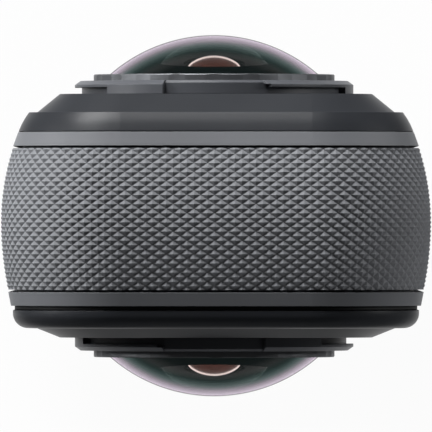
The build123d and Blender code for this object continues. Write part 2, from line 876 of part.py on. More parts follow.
with BuildPart() as front_cover:
    sweep(front_cover_section.sketch, path=half_path)
    mirror(about=Plane.YZ)
    extrude(inset_outline(face_inset + 3 * cover_wall / 4, front_inner_y), amount=cover_wall)
    rod(lens_plane(-1, -front_joint_y), cover_bore_radius, -front_face_y, mode=Mode.SUBTRACT)
    # Seat of the screen glass and the window behind it
    with BuildSketch(front_plane(front_face_y + screen_glass_thickness, screen_z)):
        RectangleRounded(
            screen_width + 2 * screen_fit_gap,
            screen_length + 2 * screen_fit_gap,
            screen_corner_radius + screen_fit_gap,
        )
    extrude(amount=screen_glass_thickness + overrun, mode=Mode.SUBTRACT)
    with BuildSketch(front_plane(front_inner_y + overrun, screen_z)):
        RectangleRounded(screen_window_width, screen_window_length, screen_corner_radius / 2)
    extrude(amount=cover_wall + 2 * overrun, mode=Mode.SUBTRACT)
    # Holes of the two round buttons
    for x in (-front_button_spread / 2, front_button_spread / 2):
        rod(
            front_plane(front_inner_y + overrun, front_button_z, x),
            front_button_radius + button_gap,
            cover_wall + 2 * overrun,
            mode=Mode.SUBTRACT,
        )
    # Ports of the status light and of the microphones
    rod(
        front_plane(front_inner_y + overrun, front_port_z),
        light_radius + running_gap,
        cover_wall + 2 * overrun,
        mode=Mode.SUBTRACT,
    )
    for x in (-microphone_x, microphone_x):
        rod(
            front_plane(front_inner_y + overrun, front_port_z, x),
            microphone_hole_radius,
            cover_wall + 2 * overrun,
            mode=Mode.SUBTRACT,
        )
front_cover.part.label = "front_cover"
export_step(front_cover.part, "parts/front_cover.step")

# Screen glass, flush with the front face, and the display panel behind it
with BuildPart() as screen_glass:
    with BuildSketch(front_plane(front_face_y + screen_glass_thickness - hairline, screen_z)):
        RectangleRounded(screen_width, screen_length, screen_corner_radius)
    extrude(amount=screen_glass_thickness - hairline)
screen_glass.part.label = "screen_glass"
export_step(screen_glass.part, "parts/screen_glass.step")

display_front_y = front_face_y + screen_glass_thickness + running_gap
with BuildPart() as display_panel:
    with BuildSketch(front_plane(display_front_y + display_thickness, screen_z)):
        RectangleRounded(
            screen_window_width - 2 * slip_gap,
            screen_window_length - 2 * slip_gap,
            screen_corner_radius / 2 - slip_gap,
        )
    extrude(amount=display_thickness)
display_panel.part.label = "display_panel"
export_step(display_panel.part, "parts/display_panel.step")

# Optical core: a cast block with a round pocket on each face for a barrel and its sensor
core_pocket_radius = barrel_waist_radius + core_pocket_clearance
with BuildPart() as optical_core:
    block(
        (lens_x - core_half_width, -core_half_depth, core_bottom),
        (lens_x + core_half_width, core_half_depth, core_top),
    )
    for side, lug_z in core_screw_places:
        lug_ends = sorted((side * core_lug_x, lens_x + side * (core_half_width - overrun)))
        block(
            (lug_ends[0], -core_lug_depth / 2, lug_z - core_lug_height / 2),
            (lug_ends[1], core_lug_depth / 2, lug_z + core_lug_height / 2),
        )
    for side in (-1, 1):
        rod(lens_plane(side, core_web / 2), core_pocket_radius, core_half_depth, mode=Mode.SUBTRACT)
        # Slot that the sensor's ribbon leaves through
        slot_ys = sorted((side * core_web / 2, side * (core_web / 2 + ribbon_slot_height)))
        block(
            (lens_x - ribbon_width / 2 - slip_gap, slot_ys[0], core_bottom - overrun),
            (lens_x + ribbon_width / 2 + slip_gap, slot_ys[1], lens_z),
            mode=Mode.SUBTRACT,
        )
    for side, lug_z in core_screw_places:
        rod(
            Plane(origin=(side * half_width, 0, lug_z), x_dir=(0, 1, 0), z_dir=(-side, 0, 0)),
            core_screw_radius + pin_fit,
            band_seat_depth + core_screw_recess + core_screw_head_height + core_screw_length + part_gap,
            mode=Mode.SUBTRACT,
        )
optical_core.part.label = "optical_core"
export_step(optical_core.part, "parts/optical_core.step")

# Four screws that hold the core between the side walls, one node
with BuildPart() as core_screws:
    for side, screw_z in core_screw_places:
        head_x = side * (crown_seat_x - core_screw_recess)
        screw(
            Plane(origin=(head_x, 0, screw_z), x_dir=(0, 1, 0), z_dir=(side, 0, 0)),
            core_screw_head_radius,
            core_screw_head_height,
            core_screw_radius,
            core_screw_length,
        )
core_screws.part.label = "core_screws"
export_step(core_screws.part, "parts/core_screws.step")

# Stack in the pockets of the core, from the web outwards
board_low = core_web / 2 + slip_gap
board_high = board_low + sensor_board_thickness
barrel_bottom = board_high + sensor_thickness + part_gap

# Relay lenses: a small element with two bulged faces deep in each barrel, one node
relay_low = barrel_bottom + relay_lens_lift
relay_high = relay_low + relay_lens_length
relay_radius = barrel_bore_radius - running_gap
relay_crown_radius = (relay_radius**2 + relay_lens_crown**2) / (2 * relay_lens_crown)
relay_crown_sweep = math.degrees(math.asin(relay_radius / relay_crown_radius))
with BuildPart() as relay_lenses:
    for side in (-1, 1):
        with BuildSketch(lens_section(side)) as relay_section:
            with BuildLine():
                low_bulge = relay_low - relay_lens_crown
                high_bulge = relay_high + relay_lens_crown
                Line((0, low_bulge), (0, high_bulge))
                Line((relay_radius, relay_low), (relay_radius, relay_high))
                JernArc((0, low_bulge), (1, 0), relay_crown_radius, relay_crown_sweep)
                JernArc((0, high_bulge), (1, 0), relay_crown_radius, -relay_crown_sweep)
            make_face()
        revolve(relay_section.sketch, axis=lens_axis(side))
relay_lenses.part.label = "relay_lenses"
export_step(relay_lenses.part, "parts/relay_lenses.step")

# The two lens units, alike but for the way they face
for side_name, side in (("front", -1), ("rear", 1)):
    face, flange_top, ring_top, dome_centre = lens_levels(side)
    skirt_inner = skirt_inner_radius(side)
    skirt_outer = skirt_inner + ring_skirt_wall
    flange_bore = skirt_outer + running_gap

    # Bayonet flange that lens guards lock on to: three lugs with slots under them, and three stops
    with BuildPart() as flange:
        with BuildSketch(lens_section(side)):
            with BuildLine():
                Polyline(
                    (flange_bore, face),
                    (flange_radius, face),
                    (flange_radius, flange_top - flange_chamfer_rise),
                    (flange_radius - flange_chamfer_run, flange_top),
                    (flange_bore, flange_top),
                    close=True,
                )
            make_face()
        revolve(axis=lens_axis(side))
        bayonet_pitch = 360 / bayonet_count
        for turn in range(bayonet_count):
            gap_start = bayonet_gap_start + turn * bayonet_pitch
            slot_start = gap_start + bayonet_gap_sweep
            outer = flange_radius + overrun
            extrude(
                ring_sector(
                    lens_plane(side, face - overrun),
                    flange_floor_radius,
                    outer,
                    gap_start,
                    bayonet_gap_sweep,
                ),
                amount=flange_height + 2 * overrun,
                mode=Mode.SUBTRACT,
            )
            extrude(
                ring_sector(
                    lens_plane(side, face - overrun),
                    flange_floor_radius,
                    outer,
                    slot_start - bayonet_lead_in_sweep / bayonet_count,
                    bayonet_slot_sweep + bayonet_lead_in_sweep / bayonet_count,
                ),
                amount=bayonet_slot_height + overrun,
                mode=Mode.SUBTRACT,
            )
            # Lead-in that lifts the mouth of the slot
            extrude(
                ring_sector(
                    lens_plane(side, face),
                    flange_floor_radius,
                    outer,
                    slot_start - bayonet_lead_in_sweep / bayonet_count,
                    bayonet_lead_in_sweep,
                ),
                amount=bayonet_slot_height + bayonet_lead_in,
                mode=Mode.SUBTRACT,
            )
        # Narrow chamfer along the top of the three gaps
        top_edges = flange.edges().group_by(Axis.Y)[-1 if side > 0 else 0]
        gap_edges = [
            edge
            for edge in top_edges.filter_by(GeomType.CIRCLE)
            if abs(edge.radius - flange_floor_radius) < hairline
        ]
        chamfer(gap_edges, length=flange_gap_chamfer)
    flange.part.label = f"{side_name}_bayonet_flange"
    export_step(flange.part, f"parts/{side_name}_bayonet_flange.step")

    # Lens ring with a scalloped edge for the fingers and a skirt that turns inside the flange
    with BuildPart() as lens_ring:
        with BuildSketch(lens_section(side)):
            with BuildLine():
                seat_start = math.degrees(math.asin((flange_top - dome_centre) / dome_seat_radius))
                seat_end = math.degrees(math.asin((ring_top - dome_centre) / dome_seat_radius))
                seat = CenterArc((0, dome_centre), dome_seat_radius, seat_start, seat_end - seat_start)
                Polyline(
                    seat @ 1,
                    (ring_radius - ring_chamfer, ring_top),
                    (ring_radius, ring_top - ring_chamfer),
                    (ring_radius, flange_top),
                    (skirt_outer, flange_top),
                    (skirt_outer, flange_top - ring_skirt_length),
                    (skirt_inner, flange_top - ring_skirt_length),
                    seat @ 0,
                )
            make_face()
        revolve(axis=lens_axis(side))
        scallop_centre = ring_radius + ring_scallop_radius - ring_scallop_depth
        with BuildSketch(lens_plane(side, flange_top)):
            with PolarLocations(scallop_centre, ring_scallop_count):
                Circle(ring_scallop_radius)
        extrude(amount=ring_height, mode=Mode.SUBTRACT)
    lens_ring.part.label = f"{side_name}_lens_ring"
    export_step(lens_ring.part, f"parts/{side_name}_lens_ring.step")

    # Dome: the front element, a thick glass meniscus with its hollow over the inner lens
    dome_rim = flange_top + dome_rim_lift
    hollow_centre = ring_top + dome_rise - dome_thickness - dome_hollow_radius
    with BuildPart() as lens_dome:
        with BuildSketch(lens_section(side)):
            with BuildLine():
                rim_points = []
                apex_points = []
                for radius, centre in ((dome_radius, dome_centre), (dome_hollow_radius, hollow_centre)):
                    start = math.degrees(math.asin((dome_rim - centre) / radius))
                    arc = CenterArc((0, centre), radius, start, 90 - start)
                    rim_points.append(arc @ 0)
                    apex_points.append(arc @ 1)
                Line(*rim_points)
                Line(*apex_points)
            make_face()
        revolve(axis=lens_axis(side))
    lens_dome.part.label = f"{side_name}_lens_dome"
    export_step(lens_dome.part, f"parts/{side_name}_lens_dome.step")

    # Barrel: a black tube that steps down into the core, with a shallow well in its top
    barrel_seat = core_half_depth + running_gap
    barrel_top = flange_top - barrel_top_recess
    well_floor = barrel_top - barrel_well_depth
    inner_base = well_floor - inner_lens_sink
    lens_base = inner_base + running_gap
    inner_edge = math.sqrt(inner_lens_radius**2 - (lens_base - hollow_centre) ** 2)
    with BuildPart() as lens_barrel:
        with BuildSketch(lens_section(side)):
            with BuildLine():
                Polyline(
                    (barrel_bore_radius, barrel_bottom),
                    (barrel_nose_radius, barrel_bottom),
                    (barrel_nose_radius, barrel_bottom + barrel_nose_length),
                    (barrel_waist_radius, barrel_bottom + barrel_nose_length),
                    (barrel_waist_radius, barrel_seat),
                    (barrel_radius, barrel_seat),
                    (barrel_radius, barrel_top),
                    (barrel_well_radius, barrel_top),
                    (barrel_well_radius, well_floor),
                    (inner_edge + running_gap, well_floor),
                    (inner_edge + running_gap, inner_base),
                    (barrel_bore_radius, inner_base),
                    close=True,
                )
            make_face()
        revolve(axis=lens_axis(side))
    lens_barrel.part.label = f"{side_name}_lens_barrel"
    export_step(lens_barrel.part, f"parts/{side_name}_lens_barrel.step")

    # Flat seal between the barrel and the rim of the dome
    with BuildPart() as lens_seal:
        with BuildSketch(lens_plane(side, barrel_top + hairline)):
            Circle(barrel_radius - slip_gap)
            Circle(barrel_radius - slip_gap - lens_seal_width, mode=Mode.SUBTRACT)
        extrude(amount=lens_seal_height)
    lens_seal.part.label = f"{side_name}_lens_seal"
    export_step(lens_seal.part, f"parts/{side_name}_lens_seal.step")

    # Inner lens: the steep second element in the barrel's well, concentric with the dome's hollow
    with BuildPart() as inner_lens:
        with BuildSketch(lens_section(side)):
            with BuildLine():
                start = math.degrees(math.asin((lens_base - hollow_centre) / inner_lens_radius))
                cap = CenterArc((0, hollow_centre), inner_lens_radius, start, 90 - start)
                Polyline(cap @ 1, (0, lens_base), cap @ 0)
            make_face()
        revolve(axis=lens_axis(side))
    inner_lens.part.label = f"{side_name}_inner_lens"
    export_step(inner_lens.part, f"parts/{side_name}_inner_lens.step")

    # Sensor on its round board
    with BuildPart() as sensor_board:
        rod(lens_plane(side, board_low), sensor_board_radius, sensor_board_thickness)
    sensor_board.part.label = f"{side_name}_sensor_board"
    export_step(sensor_board.part, f"parts/{side_name}_sensor_board.step")

    with BuildPart() as image_sensor:
        with BuildSketch(lens_plane(side, board_high)):
            Rectangle(sensor_height, sensor_width)
        extrude(amount=sensor_thickness)
    image_sensor.part.label = f"{side_name}_image_sensor"
    export_step(image_sensor.part, f"parts/{side_name}_image_sensor.step")

    # Ribbon from the board, down through the core's slot and over to the main board's top edge
    ribbon_ys = sorted((side * board_high, side * (board_high + ribbon_thickness)))
    ribbon_x = lens_x - ribbon_width / 2
    ribbon_high = core_bottom - part_gap
    if side < 0:
        ribbon_high -= ribbon_thickness + part_gap
    ribbon_low = ribbon_high - ribbon_thickness
    with BuildPart() as sensor_ribbon:
        block(
            (ribbon_x, ribbon_ys[0], ribbon_low),
            (ribbon_x + ribbon_width, ribbon_ys[1], lens_z - sensor_height / 2 - part_gap),
        )
        block(
            (ribbon_x, ribbon_ys[0], ribbon_low),
            (ribbon_x + ribbon_width, main_board_rear_y, ribbon_high),
        )
    sensor_ribbon.part.label = f"{side_name}_sensor_ribbon"
    export_step(sensor_ribbon.part, f"parts/{side_name}_sensor_ribbon.step")

# Chassis plate: sheet metal between the battery and the screen
with BuildPart() as chassis_plate:
    block(
        (-frame_inner_x + part_gap, plate_y, plate_bottom),
        (frame_inner_x - part_gap, plate_y + plate_thickness, main_board_top),
    )
    upright_edges = chassis_plate.edges().filter_by(Axis.Y)
    fillet(upright_edges, radius=plate_corner_radius)
chassis_plate.part.label = "chassis_plate"
export_step(chassis_plate.part, "parts/chassis_plate.step")

# Main board with its four screw holes
with BuildPart() as main_board:
    block(
        (-main_board_half_width, main_board_y, main_board_bottom),
        (main_board_half_width, main_board_rear_y, main_board_top),
    )
    for side in (-1, 1):
        for tab_bottom in tab_bottoms:
            screw_x = side * (frame_inner_x - board_tab_length + board_screw_inset)
            rod(
                rear_plane(main_board_y - overrun, tab_bottom + board_tab_height / 2, screw_x),
                board_screw_radius + slip_gap,
                main_board_thickness + 2 * overrun,
                mode=Mode.SUBTRACT,
            )
main_board.part.label = "main_board"
export_step(main_board.part, "parts/main_board.step")

# Four screws of the main board, one node
with BuildPart() as board_screws:
    for side in (-1, 1):
        for tab_bottom in tab_bottoms:
            screw_x = side * (frame_inner_x - board_tab_length + board_screw_inset)
            screw(
                rear_plane(
                    main_board_rear_y + hairline + board_screw_head_height,
                    tab_bottom + board_tab_height / 2,
                    screw_x,
                ),
                board_screw_head_radius,
                board_screw_head_height,
                board_screw_radius,
                board_screw_length,
            )
board_screws.part.label = "board_screws"
export_step(board_screws.part, "parts/board_screws.step")

# Processor on the rear of the board, the thermal pad on it and the heat spreader
with BuildPart() as processor:
    with BuildSketch(rear_plane(main_board_rear_y, processor_z)):
        Rectangle(processor_size, processor_size)
    extrude(amount=processor_thickness)
processor.part.label = "processor"
export_step(processor.part, "parts/processor.step")

spreader_rear_y = rear_inner_y - spreader_cover_gap
spreader_y = spreader_rear_y - spreader_thickness
pad_y = main_board_rear_y + processor_thickness
with BuildPart() as thermal_pad:
    with BuildSketch(rear_plane(pad_y, processor_z)):
        Rectangle(thermal_pad_size, thermal_pad_size)
    extrude(amount=spreader_y - pad_y)
thermal_pad.part.label = "thermal_pad"
export_step(thermal_pad.part, "parts/thermal_pad.step")

with BuildPart() as heat_spreader:
    spreader_half = half_width - spreader_side_inset
    block(
        (-spreader_half, spreader_y, main_board_bottom + spreader_bottom_margin),
        (spreader_half, spreader_rear_y, main_board_top - spreader_top_margin),
    )
    fillet(heat_spreader.edges().filter_by(Axis.Y), radius=plate_corner_radius)
heat_spreader.part.label = "heat_spreader"
export_step(heat_spreader.part, "parts/heat_spreader.step")

# Battery: the cell case, the crowned panel that closes the bay, and the latch in the panel
latch_edge_y = battery_y + latch_width / 2 + latch_flange
latch_flange_x = -half_width + battery_panel_thickness + crown_inset(latch_edge_y) + latch_flange_gap
battery_x = latch_flange_x + latch_flange_thickness + latch_back_gap
battery_end_x = side_board_x - battery_board_gap
with BuildPart() as battery_pack:
    block(
        (battery_x, battery_front_y, battery_bottom),
        (battery_end_x, battery_rear_y, battery_top),
    )
    fillet(battery_pack.edges().filter_by(Axis.X), radius=battery_corner_radius)
battery_pack.part.label = "battery_pack"
export_step(battery_pack.part, "parts/battery_pack.step")

latch_z = battery_top - latch_drop
latch_slot_length = latch_length + latch_travel + 2 * button_gap
latch_slot_z = latch_z - latch_travel / 2
with BuildPart() as battery_panel:
    extrude(
        crown_strip(
            side_plane(-1, panel_bottom), 0, battery_panel_thickness, band_front_y, band_rear_y
        ),
        amount=-(panel_top - panel_bottom),
    )
    with BuildSketch(
        Plane(origin=(-half_width, battery_y, latch_slot_z), x_dir=(0, 0, 1), z_dir=(1, 0, 0))
    ):
        SlotOverall(latch_slot_length, latch_width + 2 * button_gap)
    extrude(amount=battery_panel_thickness + overrun, mode=Mode.SUBTRACT)
battery_panel.part.label = "battery_panel"
export_step(battery_panel.part, "parts/battery_panel.step")

# Latch: a ribbed thumb slide, kept in the slot by a wider flange behind the panel
with BuildPart() as battery_latch:
    thumb_plane = Plane(
        origin=(-half_width + latch_recess, battery_y, latch_z), x_dir=(0, 0, 1), z_dir=(1, 0, 0)
    )
    with BuildSketch(thumb_plane):
        SlotOverall(latch_length, latch_width)
    extrude(amount=latch_flange_x + half_width - latch_recess)
    flange_plane = Plane(
        origin=(latch_flange_x, battery_y, latch_z), x_dir=(0, 0, 1), z_dir=(1, 0, 0)
    )
    with BuildSketch(flange_plane):
        SlotOverall(latch_length + 2 * latch_flange, latch_width + 2 * latch_flange)
    extrude(amount=latch_flange_thickness)
    with BuildSketch(thumb_plane):
        with GridLocations(latch_rib_pitch, 0, latch_rib_count, 1):
            Rectangle(latch_rib_width, latch_width + overrun)
    extrude(amount=latch_rib_depth, mode=Mode.SUBTRACT)
battery_latch.part.label = "battery_latch"
export_step(battery_latch.part, "parts/battery_latch.step")

# Contact block that the battery meets at the end of its bay
contact_x = battery_end_x + part_gap
contact_z = battery_bottom + contact_block_rise
with BuildPart() as battery_contacts:
    block(
        (contact_x, battery_front_y + part_gap, contact_z),
        (contact_x + contact_block_thickness, main_board_y - slip_gap, contact_z + contact_block_width),
    )
    for finger in range(contact_finger_count):
        finger_z = contact_z + contact_block_width / 2
        finger_z += (finger - (contact_finger_count - 1) / 2) * contact_finger_pitch
        finger_half = contact_finger_width / 2
        block(
            (contact_x - contact_finger_depth, battery_front_y + overrun, finger_z - finger_half),
            (contact_x, battery_rear_y - overrun, finger_z + finger_half),
        )
battery_contacts.part.label = "battery_contacts"
export_step(battery_contacts.part, "parts/battery_contacts.step")

# Round front buttons: a cap in the cover's hole and a flange behind it that keeps it in
button_back_y = front_inner_y + part_gap
for button_name, side in (("shutter_button", -1), ("mode_button", 1)):
    button_x = side * front_button_spread / 2
    with BuildPart() as front_button:
        rod(
            front_plane(button_back_y, front_button_z, button_x),
            front_button_radius,
            button_back_y - front_face_y + front_button_rise,
        )
        fillet(front_button.edges().group_by(Axis.Y)[0], radius=button_rounding)
        rod(
            front_plane(button_back_y + button_flange_thickness, front_button_z, button_x),
            front_button_radius + button_flange_width,
            button_flange_thickness,
        )
    front_button.part.label = button_name
    export_step(front_button.part, f"parts/{button_name}.step")

# Board behind the front buttons
front_switch_y = button_back_y + button_flange_thickness + front_button_travel + slip_gap
front_board_y = front_switch_y + switch_thickness
with BuildPart() as front_button_board:
    block(
        (
            -front_button_board_width / 2,
            front_board_y,
            front_button_z - front_button_board_height / 2,
        ),
        (
            front_button_board_width / 2,
            front_board_y + board_thickness,
            front_button_z + front_button_board_height / 2,
        ),
    )
front_button_board.part.label = "front_button_board"
export_step(front_button_board.part, "parts/front_button_board.step")

# Side buttons: long caps whose outer face follows the crowned side
for button_name, button_z in side_button_places:
    button_plane = Plane(origin=(side_flange_x, 0, button_z), x_dir=(0, 0, 1), z_dir=(1, 0, 0))
    with BuildPart() as side_button:
        with BuildSketch(button_plane):
            SlotOverall(side_button_length, side_button_width)
        extrude(amount=half_width - side_flange_x)
        extrude(
            side_slab(
                side_plane(1, button_z - side_button_length),
                side_button_recess,
                half_width,
                -side_button_width,
                side_button_width,
            ),
            amount=2 * side_button_length,
            mode=Mode.INTERSECT,
        )
        with BuildSketch(button_plane):
            SlotOverall(
                side_button_length + 2 * button_flange_width,
                side_button_width + 2 * button_flange_width,
            )
        extrude(amount=button_flange_thickness)
    side_button.part.label = button_name
    export_step(side_button.part, f"parts/{button_name}.step")

# Click switches behind all four buttons, one node
with BuildPart() as click_switches:
    switch_planes = [
        front_plane(front_board_y, front_button_z, side * front_button_spread / 2) for side in (-1, 1)
    ]
    switch_planes += [
        Plane(origin=(side_board_x + board_thickness, 0, button_z), x_dir=(0, 1, 0), z_dir=(1, 0, 0))
        for button_name, button_z in side_button_places
    ]
    for switch_plane in switch_planes:
        with BuildSketch(switch_plane) as switch_base:
            Rectangle(switch_size, switch_size)
        extrude(switch_base.sketch, amount=switch_thickness / 2)
        rod(switch_plane, switch_size / 4, switch_thickness)
click_switches.part.label = "click_switches"
export_step(click_switches.part, "parts/click_switches.step")

# Board behind the side buttons
with BuildPart() as side_button_board:
    block(
        (side_board_x, -side_board_width / 2, side_board_bottom),
        (side_board_x + board_thickness, side_board_width / 2, side_board_top),
    )
side_button_board.part.label = "side_button_board"
export_step(side_button_board.part, "parts/side_button_board.step")

# Bezel round the connector door, with the blind holes of the hinge pin
hinge_inset = door_recess + door_thickness / 2
hinge_x = -half_width + hinge_inset
hinge_y = -door_front_reach + door_thickness / 2
with BuildPart() as door_bezel:
    extrude(
        side_slab(side_plane(-1, bezel_bottom), bezel_recess, bezel_inset, bezel_front_y, bezel_rear_y),
        amount=-(bezel_top - bezel_bottom),
    )
    block(
        (-half_width - overrun, -door_front_reach - door_gap, door_bottom - door_gap),
        (-half_width + bezel_inset + overrun, door_rear_reach + door_gap, door_top + door_gap),
        mode=Mode.SUBTRACT,
    )
    rod(
        Plane(origin=(hinge_x, hinge_y, door_bottom - door_gap - hinge_pin_bite)),
        hinge_pin_radius + pin_fit,
        door_length + 2 * door_gap + 2 * hinge_pin_bite,
        mode=Mode.SUBTRACT,
    )
door_bezel.part.label = "door_bezel"
export_step(door_bezel.part, "parts/door_bezel.step")

with BuildPart() as hinge_pin:
    rod(
        Plane(origin=(hinge_x, hinge_y, door_bottom - door_gap - hinge_pin_bite + hairline)),
        hinge_pin_radius,
        door_length + 2 * (door_gap + hinge_pin_bite - hairline),
    )
hinge_pin.part.label = "hinge_pin"
export_step(hinge_pin.part, "parts/hinge_pin.step")

# Connector door: rounded about the pin on its hinge edge, with a finger notch on the other
with BuildPart() as usb_door:
    with BuildSketch(Plane.XY.offset(door_bottom)):
        with Locations((hinge_x, hinge_y)):
            Circle(door_thickness / 2)
            Rectangle(
                door_thickness,
                door_rear_reach - hinge_y,
                align=(Align.CENTER, Align.MIN),
            )
    extrude(amount=door_length)
    extrude(
        side_slab(
            side_plane(-1, door_bottom),
            door_recess,
            half_width,
            -2 * door_front_reach,
            2 * door_rear_reach,
        ),
        amount=-door_length,
        mode=Mode.INTERSECT,
    )
    rod(
        Plane(origin=(hinge_x, hinge_y, door_bottom)),
        hinge_pin_radius + running_gap,
        door_length,
        mode=Mode.SUBTRACT,
    )
    block(
        (-half_width, door_rear_reach - door_pull_width, door_z - door_pull_length / 2),
        (
            -half_width + door_recess + door_pull_depth,
            door_rear_reach + overrun,
            door_z + door_pull_length / 2,
        ),
        mode=Mode.SUBTRACT,
    )
usb_door.part.label = "usb_door"
export_step(usb_door.part, "parts/usb_door.step")

# Connector socket: a drawn metal shell with a tongue, open to the left
with BuildPart() as usb_socket:
    socket_plane = Plane(origin=(usb_mouth_x, usb_socket_y, door_z), x_dir=(0, 0, 1), z_dir=(1, 0, 0))
    with BuildSketch(socket_plane):
        RectangleRounded(usb_socket_width, usb_socket_height, usb_socket_corner)
    extrude(amount=usb_socket_length)
    with BuildSketch(socket_plane):
        RectangleRounded(
            usb_socket_width - 2 * usb_socket_wall,
            usb_socket_height - 2 * usb_socket_wall,
            usb_socket_corner - usb_socket_wall,
        )
    extrude(amount=usb_socket_depth, mode=Mode.SUBTRACT)
    with BuildSketch(socket_plane.offset(usb_socket_depth - usb_tongue_length)):
        Rectangle(usb_tongue_width, usb_tongue_thickness)
    extrude(amount=usb_tongue_length)
usb_socket.part.label = "usb_socket"
export_step(usb_socket.part, "parts/usb_socket.step")

# Small board between the connector socket and the card shell
with BuildPart() as usb_board:
    block(
        (card_shell_x, usb_board_y, usb_board_bottom),
        (card_shell_x + usb_board_length, usb_board_y + board_thickness, usb_board_top),
    )
usb_board.part.label = "usb_board"
export_step(usb_board.part, "parts/usb_board.step")

# Card shell, open to the left, and the memory card in it
card_shell_low_z = door_z - card_width / 2 - card_gap - card_shell_wall
card_shell_high_z = door_z + card_width / 2 + card_gap + card_shell_wall
with BuildPart() as card_shell:
    block(
        (card_shell_x, card_shell_y, card_shell_low_z),
        (
            card_shell_x + card_length + card_gap + card_shell_wall,
            card_rear_y + card_shell_wall,
            card_shell_high_z,
        ),
    )
    block(
        (card_shell_x, card_front_y, door_z - card_width / 2 - card_gap),
        (card_shell_x + card_length + card_gap, card_rear_y, door_z + card_width / 2 + card_gap),
        mode=Mode.SUBTRACT,
    )
card_shell.part.label = "card_shell"
export_step(card_shell.part, "parts/card_shell.step")

with BuildPart() as memory_card:
    block(
        (card_shell_x, card_front_y + card_gap, door_z - card_width / 2),
        (card_shell_x + card_length, card_front_y + card_gap + card_thickness, door_z + card_width / 2),
    )
memory_card.part.label = "memory_card"
export_step(memory_card.part, "parts/memory_card.step")

# Speaker behind the rear slots
with BuildPart() as speaker:
    with BuildSketch(
        rear_plane(rear_inner_y - running_gap - speaker_thickness, speaker_z, speaker_x)
    ):
        RectangleRounded(speaker_width, speaker_height, speaker_corner_radius)
    extrude(amount=speaker_thickness)
speaker.part.label = "speaker"
export_step(speaker.part, "parts/speaker.step")

# Four microphones behind their ports, one node
with BuildPart() as microphones:
    for x in (-microphone_x, microphone_x):
        for port_plane in (
            front_plane(front_inner_y + running_gap + microphone_thickness, front_port_z, x),
            rear_plane(rear_inner_y - running_gap - microphone_thickness, rear_port_z, x),
        ):
            with BuildSketch(port_plane) as microphone:
                Rectangle(microphone_width, microphone_height)
            extrude(microphone.sketch, amount=microphone_thickness)
microphones.part.label = "microphones"
export_step(microphones.part, "parts/microphones.step")

# Light pipes of the two status lights, one node, each flush with its cover
with BuildPart() as status_lights:
    rod(front_plane(front_face_y + hairline + light_length, front_port_z), light_radius, light_length)
    rod(rear_plane(rear_face_y - hairline - light_length, rear_port_z), light_radius, light_length)
status_lights.part.label = "status_lights"
export_step(status_lights.part, "parts/status_lights.step")
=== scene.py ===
import math

import bmesh
import bpy
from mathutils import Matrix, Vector


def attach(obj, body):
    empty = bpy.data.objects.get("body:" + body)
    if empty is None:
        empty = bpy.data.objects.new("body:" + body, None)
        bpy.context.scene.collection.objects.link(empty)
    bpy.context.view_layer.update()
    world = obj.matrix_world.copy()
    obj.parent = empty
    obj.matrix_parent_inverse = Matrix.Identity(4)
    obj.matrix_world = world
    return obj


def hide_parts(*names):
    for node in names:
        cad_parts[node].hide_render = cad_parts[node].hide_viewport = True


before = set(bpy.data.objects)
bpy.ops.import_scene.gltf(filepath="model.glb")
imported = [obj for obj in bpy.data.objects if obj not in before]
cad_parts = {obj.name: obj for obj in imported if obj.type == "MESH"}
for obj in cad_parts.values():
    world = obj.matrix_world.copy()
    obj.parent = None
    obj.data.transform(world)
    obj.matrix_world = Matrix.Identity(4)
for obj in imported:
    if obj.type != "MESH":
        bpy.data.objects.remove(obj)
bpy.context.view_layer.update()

# Camera: it hangs straight above the top end of the object and looks down along its length.
# It is a long lens nearly two metres up, so the sides look almost square, as in the photograph.
mm = 0.001
camera_place = (0, -0.03 * mm, 1902 * mm)
focal_length = 1396.7
sensor_width = 36
farthest_sight = 20
camera_data = bpy.data.cameras.new("camera_above")
camera_data.lens = focal_length
camera_data.sensor_width = sensor_width
camera_data.clip_end = farthest_sight
camera = bpy.data.objects.new("camera_above", camera_data)
camera.location = camera_place
bpy.context.scene.collection.objects.link(camera)
bpy.context.scene.camera = camera
bpy.context.scene.view_settings.view_transform = "Standard"


# Studio floor: a sheet of matt white card that the object stands on, and that takes its shadow.
# The camera sees it white, also through glass. In polished pieces only the card near the object is
# white, and the rest fades into the dark of the studio.
def linear(colour):
    """sRGB hex colour as the linear values that a socket takes."""
    channels = [int(colour[start : start + 2], 16) / 255 for start in (1, 3, 5)]
    return [*(c / 12.92 if c <= 0.04045 else ((c + 0.055) / 1.055) ** 2.4 for c in channels), 1]


def add(tree, kind, inputs=None, **settings):
    """Adds a node; its inputs are values or the sockets that they are linked to."""
    node = tree.nodes.new(kind)
    for name, value in settings.items():
        setattr(node, name, value)
    for name, value in (inputs or {}).items():
        if isinstance(value, bpy.types.NodeSocket):
            tree.links.new(value, node.inputs[name])
        else:
            node.inputs[name].default_value = value
    return node


def blank_material(name):
    """Material with an empty tree, and the tree."""
    material = bpy.data.materials.new(name)
    material.use_nodes = True
    material.node_tree.nodes.clear()
    return material, material.node_tree


glow_share = 0.96
lit_reach = 40 * mm
dark_reach = 170 * mm
dark_level = 0.12
fibre_size = 2.5 * mm
white_card, tree = blank_material("matt_white_card")
rays = add(tree, "ShaderNodeLightPath").outputs
straight = add(
    tree,
    "ShaderNodeMath",
    {0: rays["Is Camera Ray"], 1: rays["Is Transmission Ray"]},
    operation="MAXIMUM",
)
seen = add(
    tree, "ShaderNodeMath", {0: straight.outputs[0], 1: rays["Is Glossy Ray"]}, operation="MAXIMUM"
)
share = add(tree, "ShaderNodeMath", {0: seen.outputs[0], 1: glow_share}, operation="MULTIPLY")
on_card = add(tree, "ShaderNodeTexCoord").outputs["Object"]
distance = add(tree, "ShaderNodeVectorMath", {0: on_card}, operation="LENGTH")
fall_off = add(
    tree,
    "ShaderNodeMapRange",
    {
        "Value": distance.outputs["Value"],
        "From Min": lit_reach,
        "From Max": dark_reach,
        "To Min": 1.0,
        "To Max": dark_level,
    },
    interpolation_type="SMOOTHSTEP",
)
